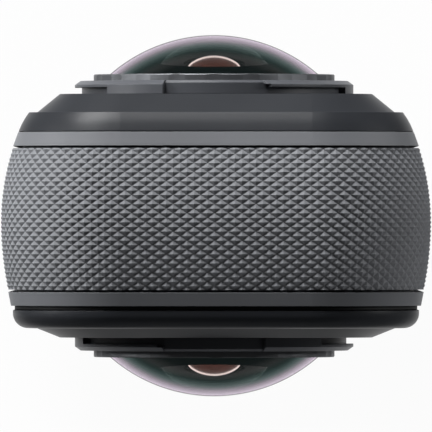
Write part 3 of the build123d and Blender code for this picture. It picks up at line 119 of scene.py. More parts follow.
strength = add(
    tree, "ShaderNodeMath", {0: fall_off.outputs[0], 1: straight.outputs[0]}, operation="MAXIMUM"
)
fibres = add(tree, "ShaderNodeTexNoise", {"Vector": on_card, "Scale": 1 / fibre_size, "Detail": 4})
card_colour = add(
    tree,
    "ShaderNodeMix",
    {0: fibres.outputs["Fac"], 6: linear("#EDEDED"), 7: linear("#F3F3F3")},
    data_type="RGBA",
)
card = add(tree, "ShaderNodeBsdfDiffuse", {"Color": card_colour.outputs[2]})
glow = add(tree, "ShaderNodeEmission", {"Color": (1, 1, 1, 1), "Strength": strength.outputs[0]})
card_surface = add(
    tree, "ShaderNodeMixShader", {0: share.outputs[0], 1: card.outputs[0], 2: glow.outputs[0]}
)
add(tree, "ShaderNodeOutputMaterial", {"Surface": card_surface.outputs[0]})

floor_reach = 6000 * mm
floor_drop = 0.1 * mm
floor_mesh = bpy.data.meshes.new("studio_floor")
floor_signs = ((-1, -1), (1, -1), (1, 1), (-1, 1))
floor_corners = [(x * floor_reach, y * floor_reach, -floor_drop) for x, y in floor_signs]
floor_mesh.from_pydata(floor_corners, [], [(0, 1, 2, 3)])
floor_mesh.materials.append(white_card)
studio_floor = bpy.data.objects.new("studio_floor", floor_mesh)
bpy.context.scene.collection.objects.link(studio_floor)


# Studio light: one large softbox behind the rear face and a little to the left, low enough to rake
# over the grip's pattern, with weaker ones at both sides and in front. The room is white to the
# camera, also through glass, and nearly dark in polished pieces.
lit_point = Vector((0, 0, 120 * mm))


def softbox(name, place, width, height, power):
    """Rectangular lamp, in metres and watts, turned to the lit point; returns its object."""
    lamp_data = bpy.data.lights.new(name, "AREA")
    lamp_data.shape = "RECTANGLE"
    lamp_data.size = width
    lamp_data.size_y = height
    lamp_data.energy = power
    lamp = bpy.data.objects.new(name, lamp_data)
    direction = lit_point - Vector(place)
    lamp.location = place
    lamp.rotation_euler = direction.to_track_quat("-Z", "Y").to_euler()
    lamp.visible_camera = False
    lamp.visible_transmission = False
    bpy.context.scene.collection.objects.link(lamp)
    return lamp


softbox("rear_softbox", place=(-0.52, 1.45, 0.57), width=0.9, height=0.4, power=40)
softbox("left_softbox", place=(-1.45, 0.45, 0.35), width=0.5, height=0.5, power=13)
softbox("right_softbox", place=(1.45, 0.45, 0.35), width=0.5, height=0.5, power=7)
front_softbox = softbox("front_softbox", place=(0.3, -1.6, 0.2), width=1.2, height=0.6, power=6.5)
front_softbox.visible_glossy = False

shadow_fill = 0.03
wall_foot_level = 0.12
wall_top_level = 0.05
wall_top_height = 0.4
room = bpy.data.worlds.new("pale_room")
bpy.context.scene.world = room
room.use_nodes = True
tree = room.node_tree
tree.nodes.clear()
rays = add(tree, "ShaderNodeLightPath").outputs
straight = add(
    tree,
    "ShaderNodeMath",
    {0: rays["Is Camera Ray"], 1: rays["Is Transmission Ray"]},
    operation="MAXIMUM",
)
sight_line = add(tree, "ShaderNodeTexCoord").outputs["Generated"]
height = add(tree, "ShaderNodeSeparateXYZ", {0: sight_line})
wall = add(
    tree,
    "ShaderNodeMapRange",
    {
        "Value": height.outputs["Z"],
        "From Min": 0.0,
        "From Max": wall_top_height,
        "To Min": wall_foot_level,
        "To Max": wall_top_level,
    },
    interpolation_type="SMOOTHSTEP",
)
level = add(
    tree, "ShaderNodeMix", {"Factor": rays["Is Glossy Ray"], "A": shadow_fill, "B": wall.outputs[0]}
)
level = add(
    tree, "ShaderNodeMath", {0: level.outputs[0], 1: straight.outputs[0]}, operation="MAXIMUM"
)
background = add(
    tree, "ShaderNodeBackground", {"Color": (1, 1, 1, 1), "Strength": level.outputs[0]}
)
add(tree, "ShaderNodeOutputWorld", {"Surface": background.outputs[0]})


# Mid frame: one injection-moulded ring of glass-filled nylon that everything hangs on. Only its two
# grey lips show, one each side of the grip band, painted satin and rounded over at their edges.
def moulded(name, colour, edge_colour, grain, depth, roughness, specular, metallic=0.0, edge=0.12):
    """Moulded surface: fine grain (sizes in mm), cloudy gloss, edges rubbed a little lighter."""
    material, tree = blank_material(name)
    place = add(tree, "ShaderNodeTexCoord").outputs["Object"]
    grains = add(
        tree, "ShaderNodeTexNoise", {"Vector": place, "Scale": 1 / (grain * mm), "Detail": 3}
    )
    cloud_size = 9 * mm
    clouds = add(
        tree, "ShaderNodeTexNoise", {"Vector": place, "Scale": 1 / cloud_size, "Detail": 2}
    )
    rounded = add(tree, "ShaderNodeBevel", {"Radius": edge * mm}, samples=6)
    flat = add(tree, "ShaderNodeNewGeometry").outputs["Normal"]
    turn = add(
        tree, "ShaderNodeVectorMath", {0: rounded.outputs[0], 1: flat}, operation="DOT_PRODUCT"
    )
    rubbed = add(
        tree,
        "ShaderNodeMapRange",
        {
            "Value": turn.outputs["Value"],
            "From Min": 0.97,
            "From Max": 0.75,
            "To Min": 0,
            "To Max": 0.5,
        },
    )
    darker, lighter = ([tone * c for c in linear(colour)[:3]] + [1] for tone in (0.9, 1.1))
    body = add(
        tree,
        "ShaderNodeMix",
        {0: clouds.outputs["Fac"], 6: darker, 7: lighter},
        data_type="RGBA",
    )
    skin = add(
        tree,
        "ShaderNodeMix",
        {0: rubbed.outputs[0], 6: body.outputs[2], 7: linear(edge_colour)},
        data_type="RGBA",
    )
    spread = 0.05
    gloss = add(
        tree,
        "ShaderNodeMapRange",
        {
            "Value": clouds.outputs["Fac"],
            "To Min": roughness - spread,
            "To Max": roughness + spread,
        },
    )
    relief = add(
        tree,
        "ShaderNodeBump",
        {"Height": grains.outputs["Fac"], "Distance": depth * mm, "Normal": rounded.outputs[0]},
    )
    surface = add(
        tree,
        "ShaderNodeBsdfPrincipled",
        {
            "Base Color": skin.outputs[2],
            "Metallic": metallic,
            "Roughness": gloss.outputs[0],
            "Specular IOR Level": specular,
            "Normal": relief.outputs[0],
        },
    )
    add(tree, "ShaderNodeOutputMaterial", {"Surface": surface.outputs[0]})
    return material


def dress(material, *nodes):
    """Puts a material on CAD nodes."""
    for node in nodes:
        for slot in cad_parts[node].material_slots:
            slot.material = material


satin_painted_nylon = moulded(
    "satin_painted_nylon",
    "#6C6E72",
    "#7E8083",
    grain=0.08,
    depth=0.003,
    roughness=0.5,
    specular=0.3,
)
dress(satin_painted_nylon, "mid_frame")

# Grip: a moulded silicone skin of small four-sided studs, glued round the sides and over the top.
# The battery's panel carries the same skin, and the rows of studs run on across the joint.
body_half_width = 23 * mm
body_height = 124.5 * mm
corner_radius = 12.8 * mm
path_bottom = 12.3 * mm
quarter_circle_handle = 0.5523
corner_handle = quarter_circle_handle * corner_radius
grip_path = bpy.data.curves.new("grip_path", "CURVE")
grip_path.dimensions = "3D"
grip_path.resolution_u = 64
path = grip_path.splines.new("BEZIER")
corner_side = body_half_width - corner_radius
corner_level = body_height - corner_radius
path_points = (
    ((body_half_width, path_bottom), (0, 0), (0, 1)),
    ((body_half_width, corner_level), (0, -1), (0, 1)),
    ((corner_side, body_height), (1, 0), (-1, 0)),
    ((-corner_side, body_height), (1, 0), (-1, 0)),
    ((-body_half_width, corner_level), (0, 1), (0, -1)),
    ((-body_half_width, path_bottom), (0, 1), (0, 0)),
)
path.bezier_points.add(len(path_points) - 1)
for point, ((x, z), back, ahead) in zip(path.bezier_points, path_points):
    point.co = (x, 0, z)
    point.handle_left = (x + back[0] * corner_handle, 0, z + back[1] * corner_handle)
    point.handle_right = (x + ahead[0] * corner_handle, 0, z + ahead[1] * corner_handle)

studs = bpy.data.node_groups.new("grip_studs", "GeometryNodeTree")
studs.interface.new_socket("Path", in_out="INPUT", socket_type="NodeSocketGeometry")
stud_sizes = {
    "Stud length": 1.464 * mm,
    "Stud width": 0.968 * mm,
    "Stud height": 0.20 * mm,
    "Tip share": 0.05,
    "Tip depth": 0.015 * mm,
    "First stud along": -0.566 * mm,
    "First row across": -0.219 * mm,
    "Skin depth": 1.3 * mm,
    "Skin half width": 9.0 * mm,
    "Rows middle": -0.33 * mm,
    "Crown line": -0.7 * mm,
    "Rear crown radius": 25.6 * mm,
    "Front crown radius": 34.6 * mm,
}
for name in stud_sizes:
    studs.interface.new_socket(name, in_out="INPUT", socket_type="NodeSocketFloat")
studs.interface.new_socket("Lattice side", in_out="INPUT", socket_type="NodeSocketInt")
studs.interface.new_socket("Material", in_out="INPUT", socket_type="NodeSocketMaterial")
studs.interface.new_socket("Skin", in_out="OUTPUT", socket_type="NodeSocketGeometry")
sizes = add(studs, "NodeGroupInput").outputs

# A square lattice turned by 45 degrees and stretched gives the rhombic feet of the studs
cells = add(studs, "ShaderNodeMath", {0: sizes["Lattice side"], 1: 1.0}, operation="ADD")
lattice = add(
    studs,
    "GeometryNodeMeshGrid",
    {
        "Size X": sizes["Lattice side"],
        "Size Y": sizes["Lattice side"],
        "Vertices X": cells.outputs[0],
        "Vertices Y": cells.outputs[0],
    },
)
corner = add(
    studs, "ShaderNodeSeparateXYZ", {0: add(studs, "GeometryNodeInputPosition").outputs[0]}
)
along = add(
    studs, "ShaderNodeMath", {0: corner.outputs[0], 1: corner.outputs[1]}, operation="SUBTRACT"
)
across = add(studs, "ShaderNodeMath", {0: corner.outputs[0], 1: corner.outputs[1]}, operation="ADD")
half_length = add(studs, "ShaderNodeMath", {0: sizes["Stud length"], 1: 0.5}, operation="MULTIPLY")
half_width = add(studs, "ShaderNodeMath", {0: sizes["Stud width"], 1: 0.5}, operation="MULTIPLY")
along = add(
    studs,
    "ShaderNodeMath",
    {0: along.outputs[0], 1: half_length.outputs[0], 2: sizes["First stud along"]},
    operation="MULTIPLY_ADD",
)
across = add(
    studs,
    "ShaderNodeMath",
    {0: across.outputs[0], 1: half_width.outputs[0], 2: sizes["First row across"]},
    operation="MULTIPLY_ADD",
)
flat_place = add(studs, "ShaderNodeCombineXYZ", {0: along.outputs[0], 1: across.outputs[0], 2: 0.0})
flat_lattice = add(
    studs,
    "GeometryNodeSetPosition",
    {"Geometry": lattice.outputs[0], "Position": flat_place.outputs[0]},
)

# Feet outside the skin's strip are left out
path_length = add(studs, "GeometryNodeCurveLength", {0: sizes["Path"]})
half_path = add(studs, "ShaderNodeMath", {0: path_length.outputs[0], 1: 0.5}, operation="MULTIPLY")
foot = add(studs, "ShaderNodeSeparateXYZ", {0: add(studs, "GeometryNodeInputPosition").outputs[0]})
foot_along = add(studs, "ShaderNodeMath", {0: foot.outputs[0]}, operation="ABSOLUTE")
foot_across = add(
    studs, "ShaderNodeMath", {0: foot.outputs[1], 1: sizes["Rows middle"]}, operation="SUBTRACT"
)
foot_across = add(studs, "ShaderNodeMath", {0: foot_across.outputs[0]}, operation="ABSOLUTE")
past_end = add(
    studs,
    "ShaderNodeMath",
    {0: foot_along.outputs[0], 1: half_path.outputs[0]},
    operation="GREATER_THAN",
)
past_edge = add(
    studs,
    "ShaderNodeMath",
    {0: foot_across.outputs[0], 1: sizes["Skin half width"]},
    operation="GREATER_THAN",
)
outside = add(
    studs, "ShaderNodeMath", {0: past_end.outputs[0], 1: past_edge.outputs[0]}, operation="MAXIMUM"
)
feet = add(
    studs,
    "GeometryNodeDeleteGeometry",
    {"Geometry": flat_lattice.outputs[0], "Selection": outside.outputs[0]},
    domain="FACE",
)

# The skin is a slab under the feet, and each foot is drawn up to a small flat tip
below = add(studs, "ShaderNodeMath", {0: sizes["Skin depth"], 1: -1.0}, operation="MULTIPLY")
below_offset = add(studs, "ShaderNodeCombineXYZ", {0: 0.0, 1: 0.0, 2: below.outputs[0]})
lowered = add(
    studs,
    "GeometryNodeSetPosition",
    {"Geometry": feet.outputs[0], "Offset": below_offset.outputs[0]},
)
underside = add(studs, "GeometryNodeFlipFaces", {0: lowered.outputs[0]})
slab = add(
    studs,
    "GeometryNodeExtrudeMesh",
    {"Mesh": lowered.outputs[0], "Offset Scale": sizes["Skin depth"], "Individual": False},
)
raised = add(
    studs,
    "GeometryNodeExtrudeMesh",
    {
        "Mesh": slab.outputs["Mesh"],
        "Selection": slab.outputs["Top"],
        "Offset Scale": sizes["Stud height"],
        "Individual": True,
    },
)
tips = add(
    studs,
    "GeometryNodeScaleElements",
    {
        "Geometry": raised.outputs["Mesh"],
        "Selection": raised.outputs["Top"],
        "Scale": sizes["Tip share"],
    },
    domain="FACE",
)
weld_gap = 0.001 * mm
both_sides = add(studs, "GeometryNodeJoinGeometry")
studs.links.new(underside.outputs[0], both_sides.inputs[0])
studs.links.new(tips.outputs[0], both_sides.inputs[0])
closed_skin = add(
    studs,
    "GeometryNodeMergeByDistance",
    {"Geometry": both_sides.outputs[0], "Distance": weld_gap},
)

# The flat skin is laid on the crowned side, which is drawn in by a rear arc and a front arc
spot = add(studs, "ShaderNodeSeparateXYZ", {0: add(studs, "GeometryNodeInputPosition").outputs[0]})
sunk = add(
    studs, "ShaderNodeMath", {0: sizes["Stud height"], 1: sizes["Tip depth"]}, operation="ADD"
)
rise = add(studs, "ShaderNodeMath", {0: spot.outputs[2], 1: sunk.outputs[0]}, operation="SUBTRACT")
from_crown = add(
    studs, "ShaderNodeMath", {0: spot.outputs[1], 1: sizes["Crown line"]}, operation="SUBTRACT"
)
is_rear = add(studs, "ShaderNodeMath", {0: from_crown.outputs[0], 1: 0.0}, operation="GREATER_THAN")
arc_change = add(
    studs,
    "ShaderNodeMath",
    {0: sizes["Rear crown radius"], 1: sizes["Front crown radius"]},
    operation="SUBTRACT",
)
arc_radius = add(
    studs,
    "ShaderNodeMath",
    {0: is_rear.outputs[0], 1: arc_change.outputs[0], 2: sizes["Front crown radius"]},
    operation="MULTIPLY_ADD",
)
level_radius = add(
    studs, "ShaderNodeMath", {0: arc_radius.outputs[0], 1: rise.outputs[0]}, operation="ADD"
)
radius_square = add(
    studs,
    "ShaderNodeMath",
    {0: level_radius.outputs[0], 1: level_radius.outputs[0]},
    operation="MULTIPLY",
)
crown_square = add(
    studs,
    "ShaderNodeMath",
    {0: from_crown.outputs[0], 1: from_crown.outputs[0]},
    operation="MULTIPLY",
)
reach_square = add(
    studs,
    "ShaderNodeMath",
    {0: radius_square.outputs[0], 1: crown_square.outputs[0]},
    operation="SUBTRACT",
)
reach = add(studs, "ShaderNodeMath", {0: reach_square.outputs[0]}, operation="SQRT")
outwards = add(
    studs, "ShaderNodeMath", {0: reach.outputs[0], 1: arc_radius.outputs[0]}, operation="SUBTRACT"
)
travel = add(
    studs, "ShaderNodeMath", {0: spot.outputs[0], 1: half_path.outputs[0]}, operation="ADD"
)
on_path = add(
    studs,
    "GeometryNodeSampleCurve",
    {"Curves": sizes["Path"], "Length": travel.outputs[0]},
    mode="LENGTH",
    use_all_curves=True,
)
square_to_path = add(
    studs,
    "ShaderNodeVectorMath",
    {0: (0, 1, 0), 1: on_path.outputs["Tangent"]},
    operation="CROSS_PRODUCT",
)
shift = add(
    studs,
    "ShaderNodeVectorMath",
    {0: square_to_path.outputs[0], "Scale": outwards.outputs[0]},
    operation="SCALE",
)
sideways = add(studs, "ShaderNodeCombineXYZ", {0: 0.0, 1: spot.outputs[1], 2: 0.0})
laid = add(
    studs,
    "ShaderNodeVectorMath",
    {0: on_path.outputs["Position"], 1: shift.outputs[0]},
    operation="ADD",
)
laid = add(
    studs, "ShaderNodeVectorMath", {0: laid.outputs[0], 1: sideways.outputs[0]}, operation="ADD"
)
skin = add(
    studs,
    "GeometryNodeSetPosition",
    {"Geometry": closed_skin.outputs[0], "Position": laid.outputs[0]},
)
skin = add(studs, "GeometryNodeRealizeInstances", {0: skin.outputs[0]})
skin = add(
    studs, "GeometryNodeSetMaterial", {"Geometry": skin.outputs[0], "Material": sizes["Material"]}
)
add(studs, "NodeGroupOutput", {0: skin.outputs[0]})

moulded_silicone = moulded(
    "moulded_silicone",
    "#797B7F",
    "#888A8E",
    grain=0.05,
    depth=0.002,
    roughness=0.6,
    specular=0.3,
    edge=0.03,
)


def fill_tree(holder, tree, values):
    """Puts a node tree on an object as a modifier and fills its named inputs."""
    modifier = holder.modifiers.new(tree.name, "NODES")
    modifier.node_group = tree
    for item in tree.interface.items_tree:
        if item.name in values:
            modifier[item.identifier] = values[item.name]


def evaluated_mesh(holder):
    """Plain mesh of an object with its modifiers applied."""
    holder.data.update_tag()
    depsgraph = bpy.context.evaluated_depsgraph_get()
    return bpy.data.meshes.new_from_object(holder.evaluated_get(depsgraph))


def merged_copy(node):
    """Mesh of a CAD node as one closed skin, with its loose triangles joined."""
    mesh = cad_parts[node].data.copy()
    triangles = bmesh.new()
    triangles.from_mesh(mesh)
    bmesh.ops.remove_doubles(triangles, verts=triangles.verts, dist=0.002 * mm)
    triangles.to_mesh(mesh)
    triangles.free()
    return mesh


def place_piece(name, mesh, material):
    """Object of a finished mesh at the origin, with one material."""
    mesh.materials.clear()
    mesh.materials.append(material)
    mesh.name = name
    piece = bpy.data.objects.new(name, mesh)
    bpy.context.scene.collection.objects.link(piece)
    return piece


path_holder = bpy.data.objects.new("grip_path", grip_path)
bpy.context.scene.collection.objects.link(path_holder)
lattice_cells = 200
fill_tree(
    path_holder, studs, {**stud_sizes, "Lattice side": lattice_cells, "Material": moulded_silicone}
)
whole_skin = evaluated_mesh(path_holder)
bpy.data.objects.remove(path_holder)
for node, body, name in (
    ("grip_band", "housing", "studded_grip_band"),
    ("battery_panel", "battery", "studded_battery_panel"),
):
    holder = place_piece("skin_to_cut", whole_skin.copy(), moulded_silicone)
    cutter = place_piece("skin_cutter", merged_copy(node), moulded_silicone)
    cut = holder.modifiers.new("cut", "BOOLEAN")
    cut.operation = "INTERSECT"
    cut.solver = "MANIFOLD"
    cut.object = cutter
    cut_mesh = evaluated_mesh(holder)
    bpy.data.objects.remove(holder)
    bpy.data.objects.remove(cutter)
    cut_mesh.shade_flat()
    grip = place_piece(name, cut_mesh, moulded_silicone)
    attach(grip, body)
    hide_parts(node)

# Covers, base cap, door and its bezel: spark-eroded black polycarbonate shells, clipped and glued
# to the frame, with a fine even grain that makes them matt and slightly sparkling.
spark_eroded_polycarbonate = moulded(
    "spark_eroded_polycarbonate",
    "#2B2D31",
    "#414346",
    grain=0.14,
    depth=0.004,
    roughness=0.38,
    specular=0.2,
)
dress(spark_eroded_polycarbonate, "front_cover", "rear_cover", "base_cap", "door_bezel", "usb_door")

# Seals: a strip and a cord of soft black silicone, squeezed between the frame and the covers, and
# a flat ring under each dome. They are matt, so the strip that shows looks nearly black.
soft_silicone = moulded(
    "soft_silicone", "#18191A", "#242526", grain=0.1, depth=0.003, roughness=0.65, specular=0.3
)
dress(soft_silicone, "front_seal", "rear_seal", "front_lens_seal", "rear_lens_seal")

# Bayonet flanges: glass-filled nylon rings with three lugs that lens guards lock on to, bonded to
# the covers. They are moulded smoother than the covers, so their chamfers catch the light.
glass_filled_nylon = moulded(
    "glass_filled_nylon",
    "#515358",
    "#6E7073",
    grain=0.1,
    depth=0.002,
    roughness=0.42,
    specular=0.35,
)
dress(glass_filled_nylon, "front_bayonet_flange", "rear_bayonet_flange")


# Lens rings: turned aluminium, black anodised and scalloped round the rim, to give fingers a hold.
# The lathe leaves grooves round the lens axis, a little over a tenth of a millimetre apart, which
# draw the gloss out. Sizes of the lens units are in millimetres.
lens_axis_x = -0.2
lens_axis_z = 102.5
groove_depth = 0.002
ring_edge = 0.08


def turned_metal(name, colour, edge_colour, pitch, roughness):
    """Anodised metal turned about the lens axis, with grooves at a pitch in mm."""
    material, tree = blank_material(name)
    place = add(tree, "ShaderNodeTexCoord").outputs["Object"]
    to_axis = (-lens_axis_x * mm, 0, -lens_axis_z * mm)
    centred = add(
        tree, "ShaderNodeMapping", {"Vector": place, "Location": to_axis, "Scale": (1, 0, 1)}
    )
    radius = add(tree, "ShaderNodeVectorMath", {0: centred.outputs[0]}, operation="LENGTH")
    depth = add(tree, "ShaderNodeSeparateXYZ", {0: place})
    run = add(
        tree, "ShaderNodeMath", {0: radius.outputs["Value"], 1: depth.outputs[1]}, operation="ADD"
    )
    turns = add(
        tree,
        "ShaderNodeMath",
        {0: run.outputs[0], 1: 2 * math.pi / (pitch * mm)},
        operation="MULTIPLY",
    )
    grooves = add(tree, "ShaderNodeMath", {0: turns.outputs[0]}, operation="SINE")
    rounded = add(tree, "ShaderNodeBevel", {"Radius": ring_edge * mm}, samples=6)
    flat = add(tree, "ShaderNodeNewGeometry").outputs["Normal"]
    turn = add(
        tree, "ShaderNodeVectorMath", {0: rounded.outputs[0], 1: flat}, operation="DOT_PRODUCT"
    )
    # Edges turn lighter: worn anodising, and also a painted highlight along the rim's edge line.
    rubbed = add(
        tree,
        "ShaderNodeMapRange",
        {
            "Value": turn.outputs["Value"],
            "From Min": 0.98,
            "From Max": 0.8,
            "To Min": 0,
            "To Max": 0.8,
        },
    )
    dye_and_painted_highlight = add(
        tree,
        "ShaderNodeMix",
        {0: rubbed.outputs[0], 6: linear(colour), 7: linear(edge_colour)},
        data_type="RGBA",
    )
    relief = add(
        tree,
        "ShaderNodeBump",
        {"Height": grooves.outputs[0], "Distance": groove_depth * mm, "Normal": rounded.outputs[0]},
    )
    surface = add(
        tree,
        "ShaderNodeBsdfPrincipled",
        {
            "Base Color": dye_and_painted_highlight.outputs[2],
            "Metallic": 0.85,
            "Roughness": roughness,
            "Normal": relief.outputs[0],
        },
    )
    add(tree, "ShaderNodeOutputMaterial", {"Surface": surface.outputs[0]})
    return material


# The pale edge colour is worn anodising and also a painted highlight on the ring's edge line.
black_anodised_aluminium = turned_metal(
    "black_anodised_aluminium", "#6C6E71", "#C4C6C9", pitch=0.12, roughness=0.5
)
dress(black_anodised_aluminium, "front_lens_ring", "rear_lens_ring")

# Domes: thick menisci of optical glass, ground and polished, with a hollow over the inner lens.
# Their back is blackened, the hollow is painted dark at a slant (painted shade), and their front
# is coated, so they look dark in the middle, with a teal to lavender mirror toward the rim and a
# painted dark outline at the limb. The lens ring holds each dome.
glass_facets = 144


def turn_glass(name, profile, side):
    """Closed mesh of (radius, distance out) points in mm, turned about one face's lens axis."""
    turned = bmesh.new()
    rings = []
    for radius, out in profile:
        ring = []
        for step in range(glass_facets if radius > 0 else 1):
            angle = 2 * math.pi * step / glass_facets
            x = lens_axis_x + radius * math.sin(angle)
            z = lens_axis_z + radius * math.cos(angle)
            ring.append(turned.verts.new((x * mm, side * out * mm, z * mm)))
        rings.append(ring)
    for inner, outer in zip(rings, rings[1:]):
        for step in range(glass_facets):
            around = ((inner, step), (inner, step + 1), (outer, step + 1), (outer, step))
            corners = [ring[turn % len(ring)] for ring, turn in around]
            turned.faces.new(list(dict.fromkeys(corners)))
    bmesh.ops.recalc_face_normals(turned, faces=turned.faces)
    mesh = bpy.data.meshes.new(name)
    turned.to_mesh(mesh)
    turned.free()
    mesh.shade_smooth()
    mesh.set_sharp_from_angle(angle=math.radians(25))
    return mesh


def arc_points(centre, radius, start_out, end_out, count):
    """Points of an arc about the lens axis, from one distance out to another."""
    start, end = (math.acos((out - centre) / radius) for out in (start_out, end_out))
    angles = [start + (end - start) * step / count for step in range(count + 1)]
    return [(radius * math.sin(angle), centre + radius * math.cos(angle)) for angle in angles]


dome_radius = 17.0
dome_apex = 19.40
dome_rim = 14.50
hollow_radius = 7.9
hollow_apex = 18.0
dome_centre = dome_apex - dome_radius
front_arc = arc_points(dome_centre, dome_radius, dome_apex, dome_rim, count=40)
hollow_centre = hollow_apex - hollow_radius
hollow_arc = arc_points(hollow_centre, hollow_radius, dome_rim, hollow_apex, count=24)
front_arc[0] = (0, dome_apex)
hollow_arc[-1] = (0, hollow_apex)
clear_rim = 11.6
back = [(clear_rim, dome_rim)]

# A thin film on polished glass changes colour with the slant of sight: from clear in the middle
# over teal to lavender. The dark outline where the dome's limb meets the ring is painted shade,
# set by the slant of sight.
polished_dome_glass, tree = blank_material("polished_dome_glass")
facing = add(tree, "ShaderNodeLayerWeight", {"Blend": 0.5})
mirror, coating, tint = (
    add(tree, "ShaderNodeValToRGB", {"Fac": facing.outputs["Facing"]}) for _ in range(3)
)
# The greys are the mirror's share of the surface: none, 0.18, 0.5 and 0.9
no_mirror, faint_mirror, half_mirror, full_mirror = "#000000", "#767676", "#BCBCBC", "#F3F3F3"
# The dark rim colour is painted shade: a dark outline at the dome's limb, set by the slant of
# sight.
clear, teal, pale_teal, painted_dark_rim = "#F7F4F2", "#9CCBC4", "#A9CFCB", "#3A2C36"
lavender, teal_gleam, lavender_gleam = "#EFDDF1", "#8FD4CE", "#F2E6F4"
mirror_stops = (
    (0.44, no_mirror),
    (0.53, faint_mirror),
    (0.7, faint_mirror),
    (0.85, half_mirror),
    (0.91, full_mirror),
    (0.96, full_mirror),
    (1.0, half_mirror),
)
coating_stops = (
    (0.5, clear),
    (0.57, teal),
    (0.65, pale_teal),
    (0.74, lavender),
    (0.87, lavender),
    (0.91, painted_dark_rim),
    (0.96, painted_dark_rim),
    (1.0, lavender),
)
tint_stops = (
    (0.6, teal_gleam),
    (0.72, lavender_gleam),
    (0.87, lavender_gleam),
    (0.91, painted_dark_rim),
    (0.96, painted_dark_rim),
    (1.0, lavender_gleam),
)
for ramp, stops in ((mirror, mirror_stops), (coating, coating_stops), (tint, tint_stops)):
    elements = ramp.color_ramp.elements
    while len(elements) < len(stops):
        elements.new(0.5)
    for element, (position, colour) in zip(elements, stops):
        element.position = position
        element.color = linear(colour)
surface = add(
    tree,
    "ShaderNodeBsdfPrincipled",
    {
        "Base Color": coating.outputs[0],
        "Metallic": mirror.outputs[0],
        "Roughness": 0.0,
        "IOR": 1.5,
        "Transmission Weight": 1.0,
        "Specular Tint": tint.outputs[0],
    },
)
add(tree, "ShaderNodeOutputMaterial", {"Surface": surface.outputs[0]})

# The hollow's glass is clear up to a slant of 36 degrees, near that of total reflection, and past
# it its colour is painted dark, a painted shade. Slants are one less the cosine, as the facing
# value has them.
clear_slant = 0.19
dark_slant = 0.192
hollow_glass, tree = blank_material("hollow_glass")
facing = add(tree, "ShaderNodeLayerWeight", {"Blend": 0.5})
painted_shade_share = add(
    tree,
    "ShaderNodeMapRange",
    {"Value": facing.outputs["Facing"], "From Min": clear_slant, "From Max": dark_slant},
)
# Past that slant the surface is painted dark: a painted shade.
shade = add(
    tree,
    "ShaderNodeMix",
    {0: painted_shade_share.outputs[0], 6: linear("#FFFFFF"), 7: linear("#0A1214")},
    data_type="RGBA",
)
surface = add(
    tree,
    "ShaderNodeBsdfPrincipled",
    {
        "Base Color": shade.outputs[2],
        "Metallic": painted_shade_share.outputs[0],
        "Roughness": 0.0,
        "IOR": 1.5,
        "Transmission Weight": 1.0,
        "Specular Tint": linear("#1C2A2C"),
    },
)
add(tree, "ShaderNodeOutputMaterial", {"Surface": surface.outputs[0]})

# Matt black lacquer covers the flat back between the clear rim and the hollow, and shows no light
lens_blacking = moulded(
    "lens_blacking", "#0B1011", "#0B1011", grain=0.4, depth=0.0005, roughness=0.8, specular=0.0
)
for side, name, body in (
    (1, "rear_lens_dome", "rear_lens_cap"),
    (-1, "front_lens_dome", "front_lens_cap"),
):
    mesh = turn_glass("polished_" + name, front_arc + back + hollow_arc, side)
    dome = place_piece("polished_" + name, mesh, polished_dome_glass)
    mesh.materials.append(lens_blacking)
    mesh.materials.append(hollow_glass)
    first_black = len(front_arc) * glass_facets
    first_hollow = first_black + glass_facets
    for index, face in enumerate(mesh.polygons):
        face.material_index = 0 if index < first_black else 1 if index < first_hollow else 2
    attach(dome, body)
    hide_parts(name)

# Inner and relay lenses: small steep elements of polished glass, seated in the barrels. Their
# coating mirrors the dark studio in copper brown. Toward the limb their colour is painted pale by
# the slant of sight, a painted highlight arc.
coated_inner_glass, tree = blank_material("coated_inner_glass")
facing = add(tree, "ShaderNodeLayerWeight", {"Blend": 0.5})
# Painted highlight: the colour turns pale toward the limb by the slant of sight.
painted_limb_highlight = add(
    tree,
    "ShaderNodeMapRange",
    {"Value": facing.outputs["Facing"], "From Min": 0.56, "From Max": 0.68},
    interpolation_type="SMOOTHSTEP",
)
coat_and_painted_highlight = add(
    tree,
    "ShaderNodeMix",
    {0: painted_limb_highlight.outputs[0], 6: linear("#4A2E28"), 7: linear("#FAE8E2")},
    data_type="RGBA",
)
surface = add(
    tree,
    "ShaderNodeBsdfPrincipled",
    {"Base Color": coat_and_painted_highlight.outputs[2], "Metallic": 1.0, "Roughness": 0.04},
)
add(tree, "ShaderNodeOutputMaterial", {"Surface": surface.outputs[0]})
dress(coated_inner_glass, "relay_lenses")
inner_radius = 4.35
inner_base = 13.3
inner_apex = hollow_centre + inner_radius
for side, name, body in (
    (1, "rear_inner_lens", "housing"),
    (-1, "front_inner_lens", "housing"),
):
    cap = arc_points(hollow_centre, inner_radius, inner_apex, inner_base, count=24)
    cap[0] = (0, inner_apex)
    mesh = turn_glass("coated_" + name, cap + [(0, inner_base)], side)
    lens = place_piece("coated_" + name, mesh, coated_inner_glass)
    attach(lens, body)
    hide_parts(name)

# Lens barrels: moulded black nylon tubes that step down into the core, each with a shallow well
# for its inner lens. Their matt face swallows stray light under the dome.
matt_black_barrel = moulded(
    "matt_black_barrel", "#0C0C0D", "#161617", grain=0.2, depth=0.01, roughness=0.8, specular=0.2
)
dress(matt_black_barrel, "front_lens_barrel", "rear_lens_barrel")

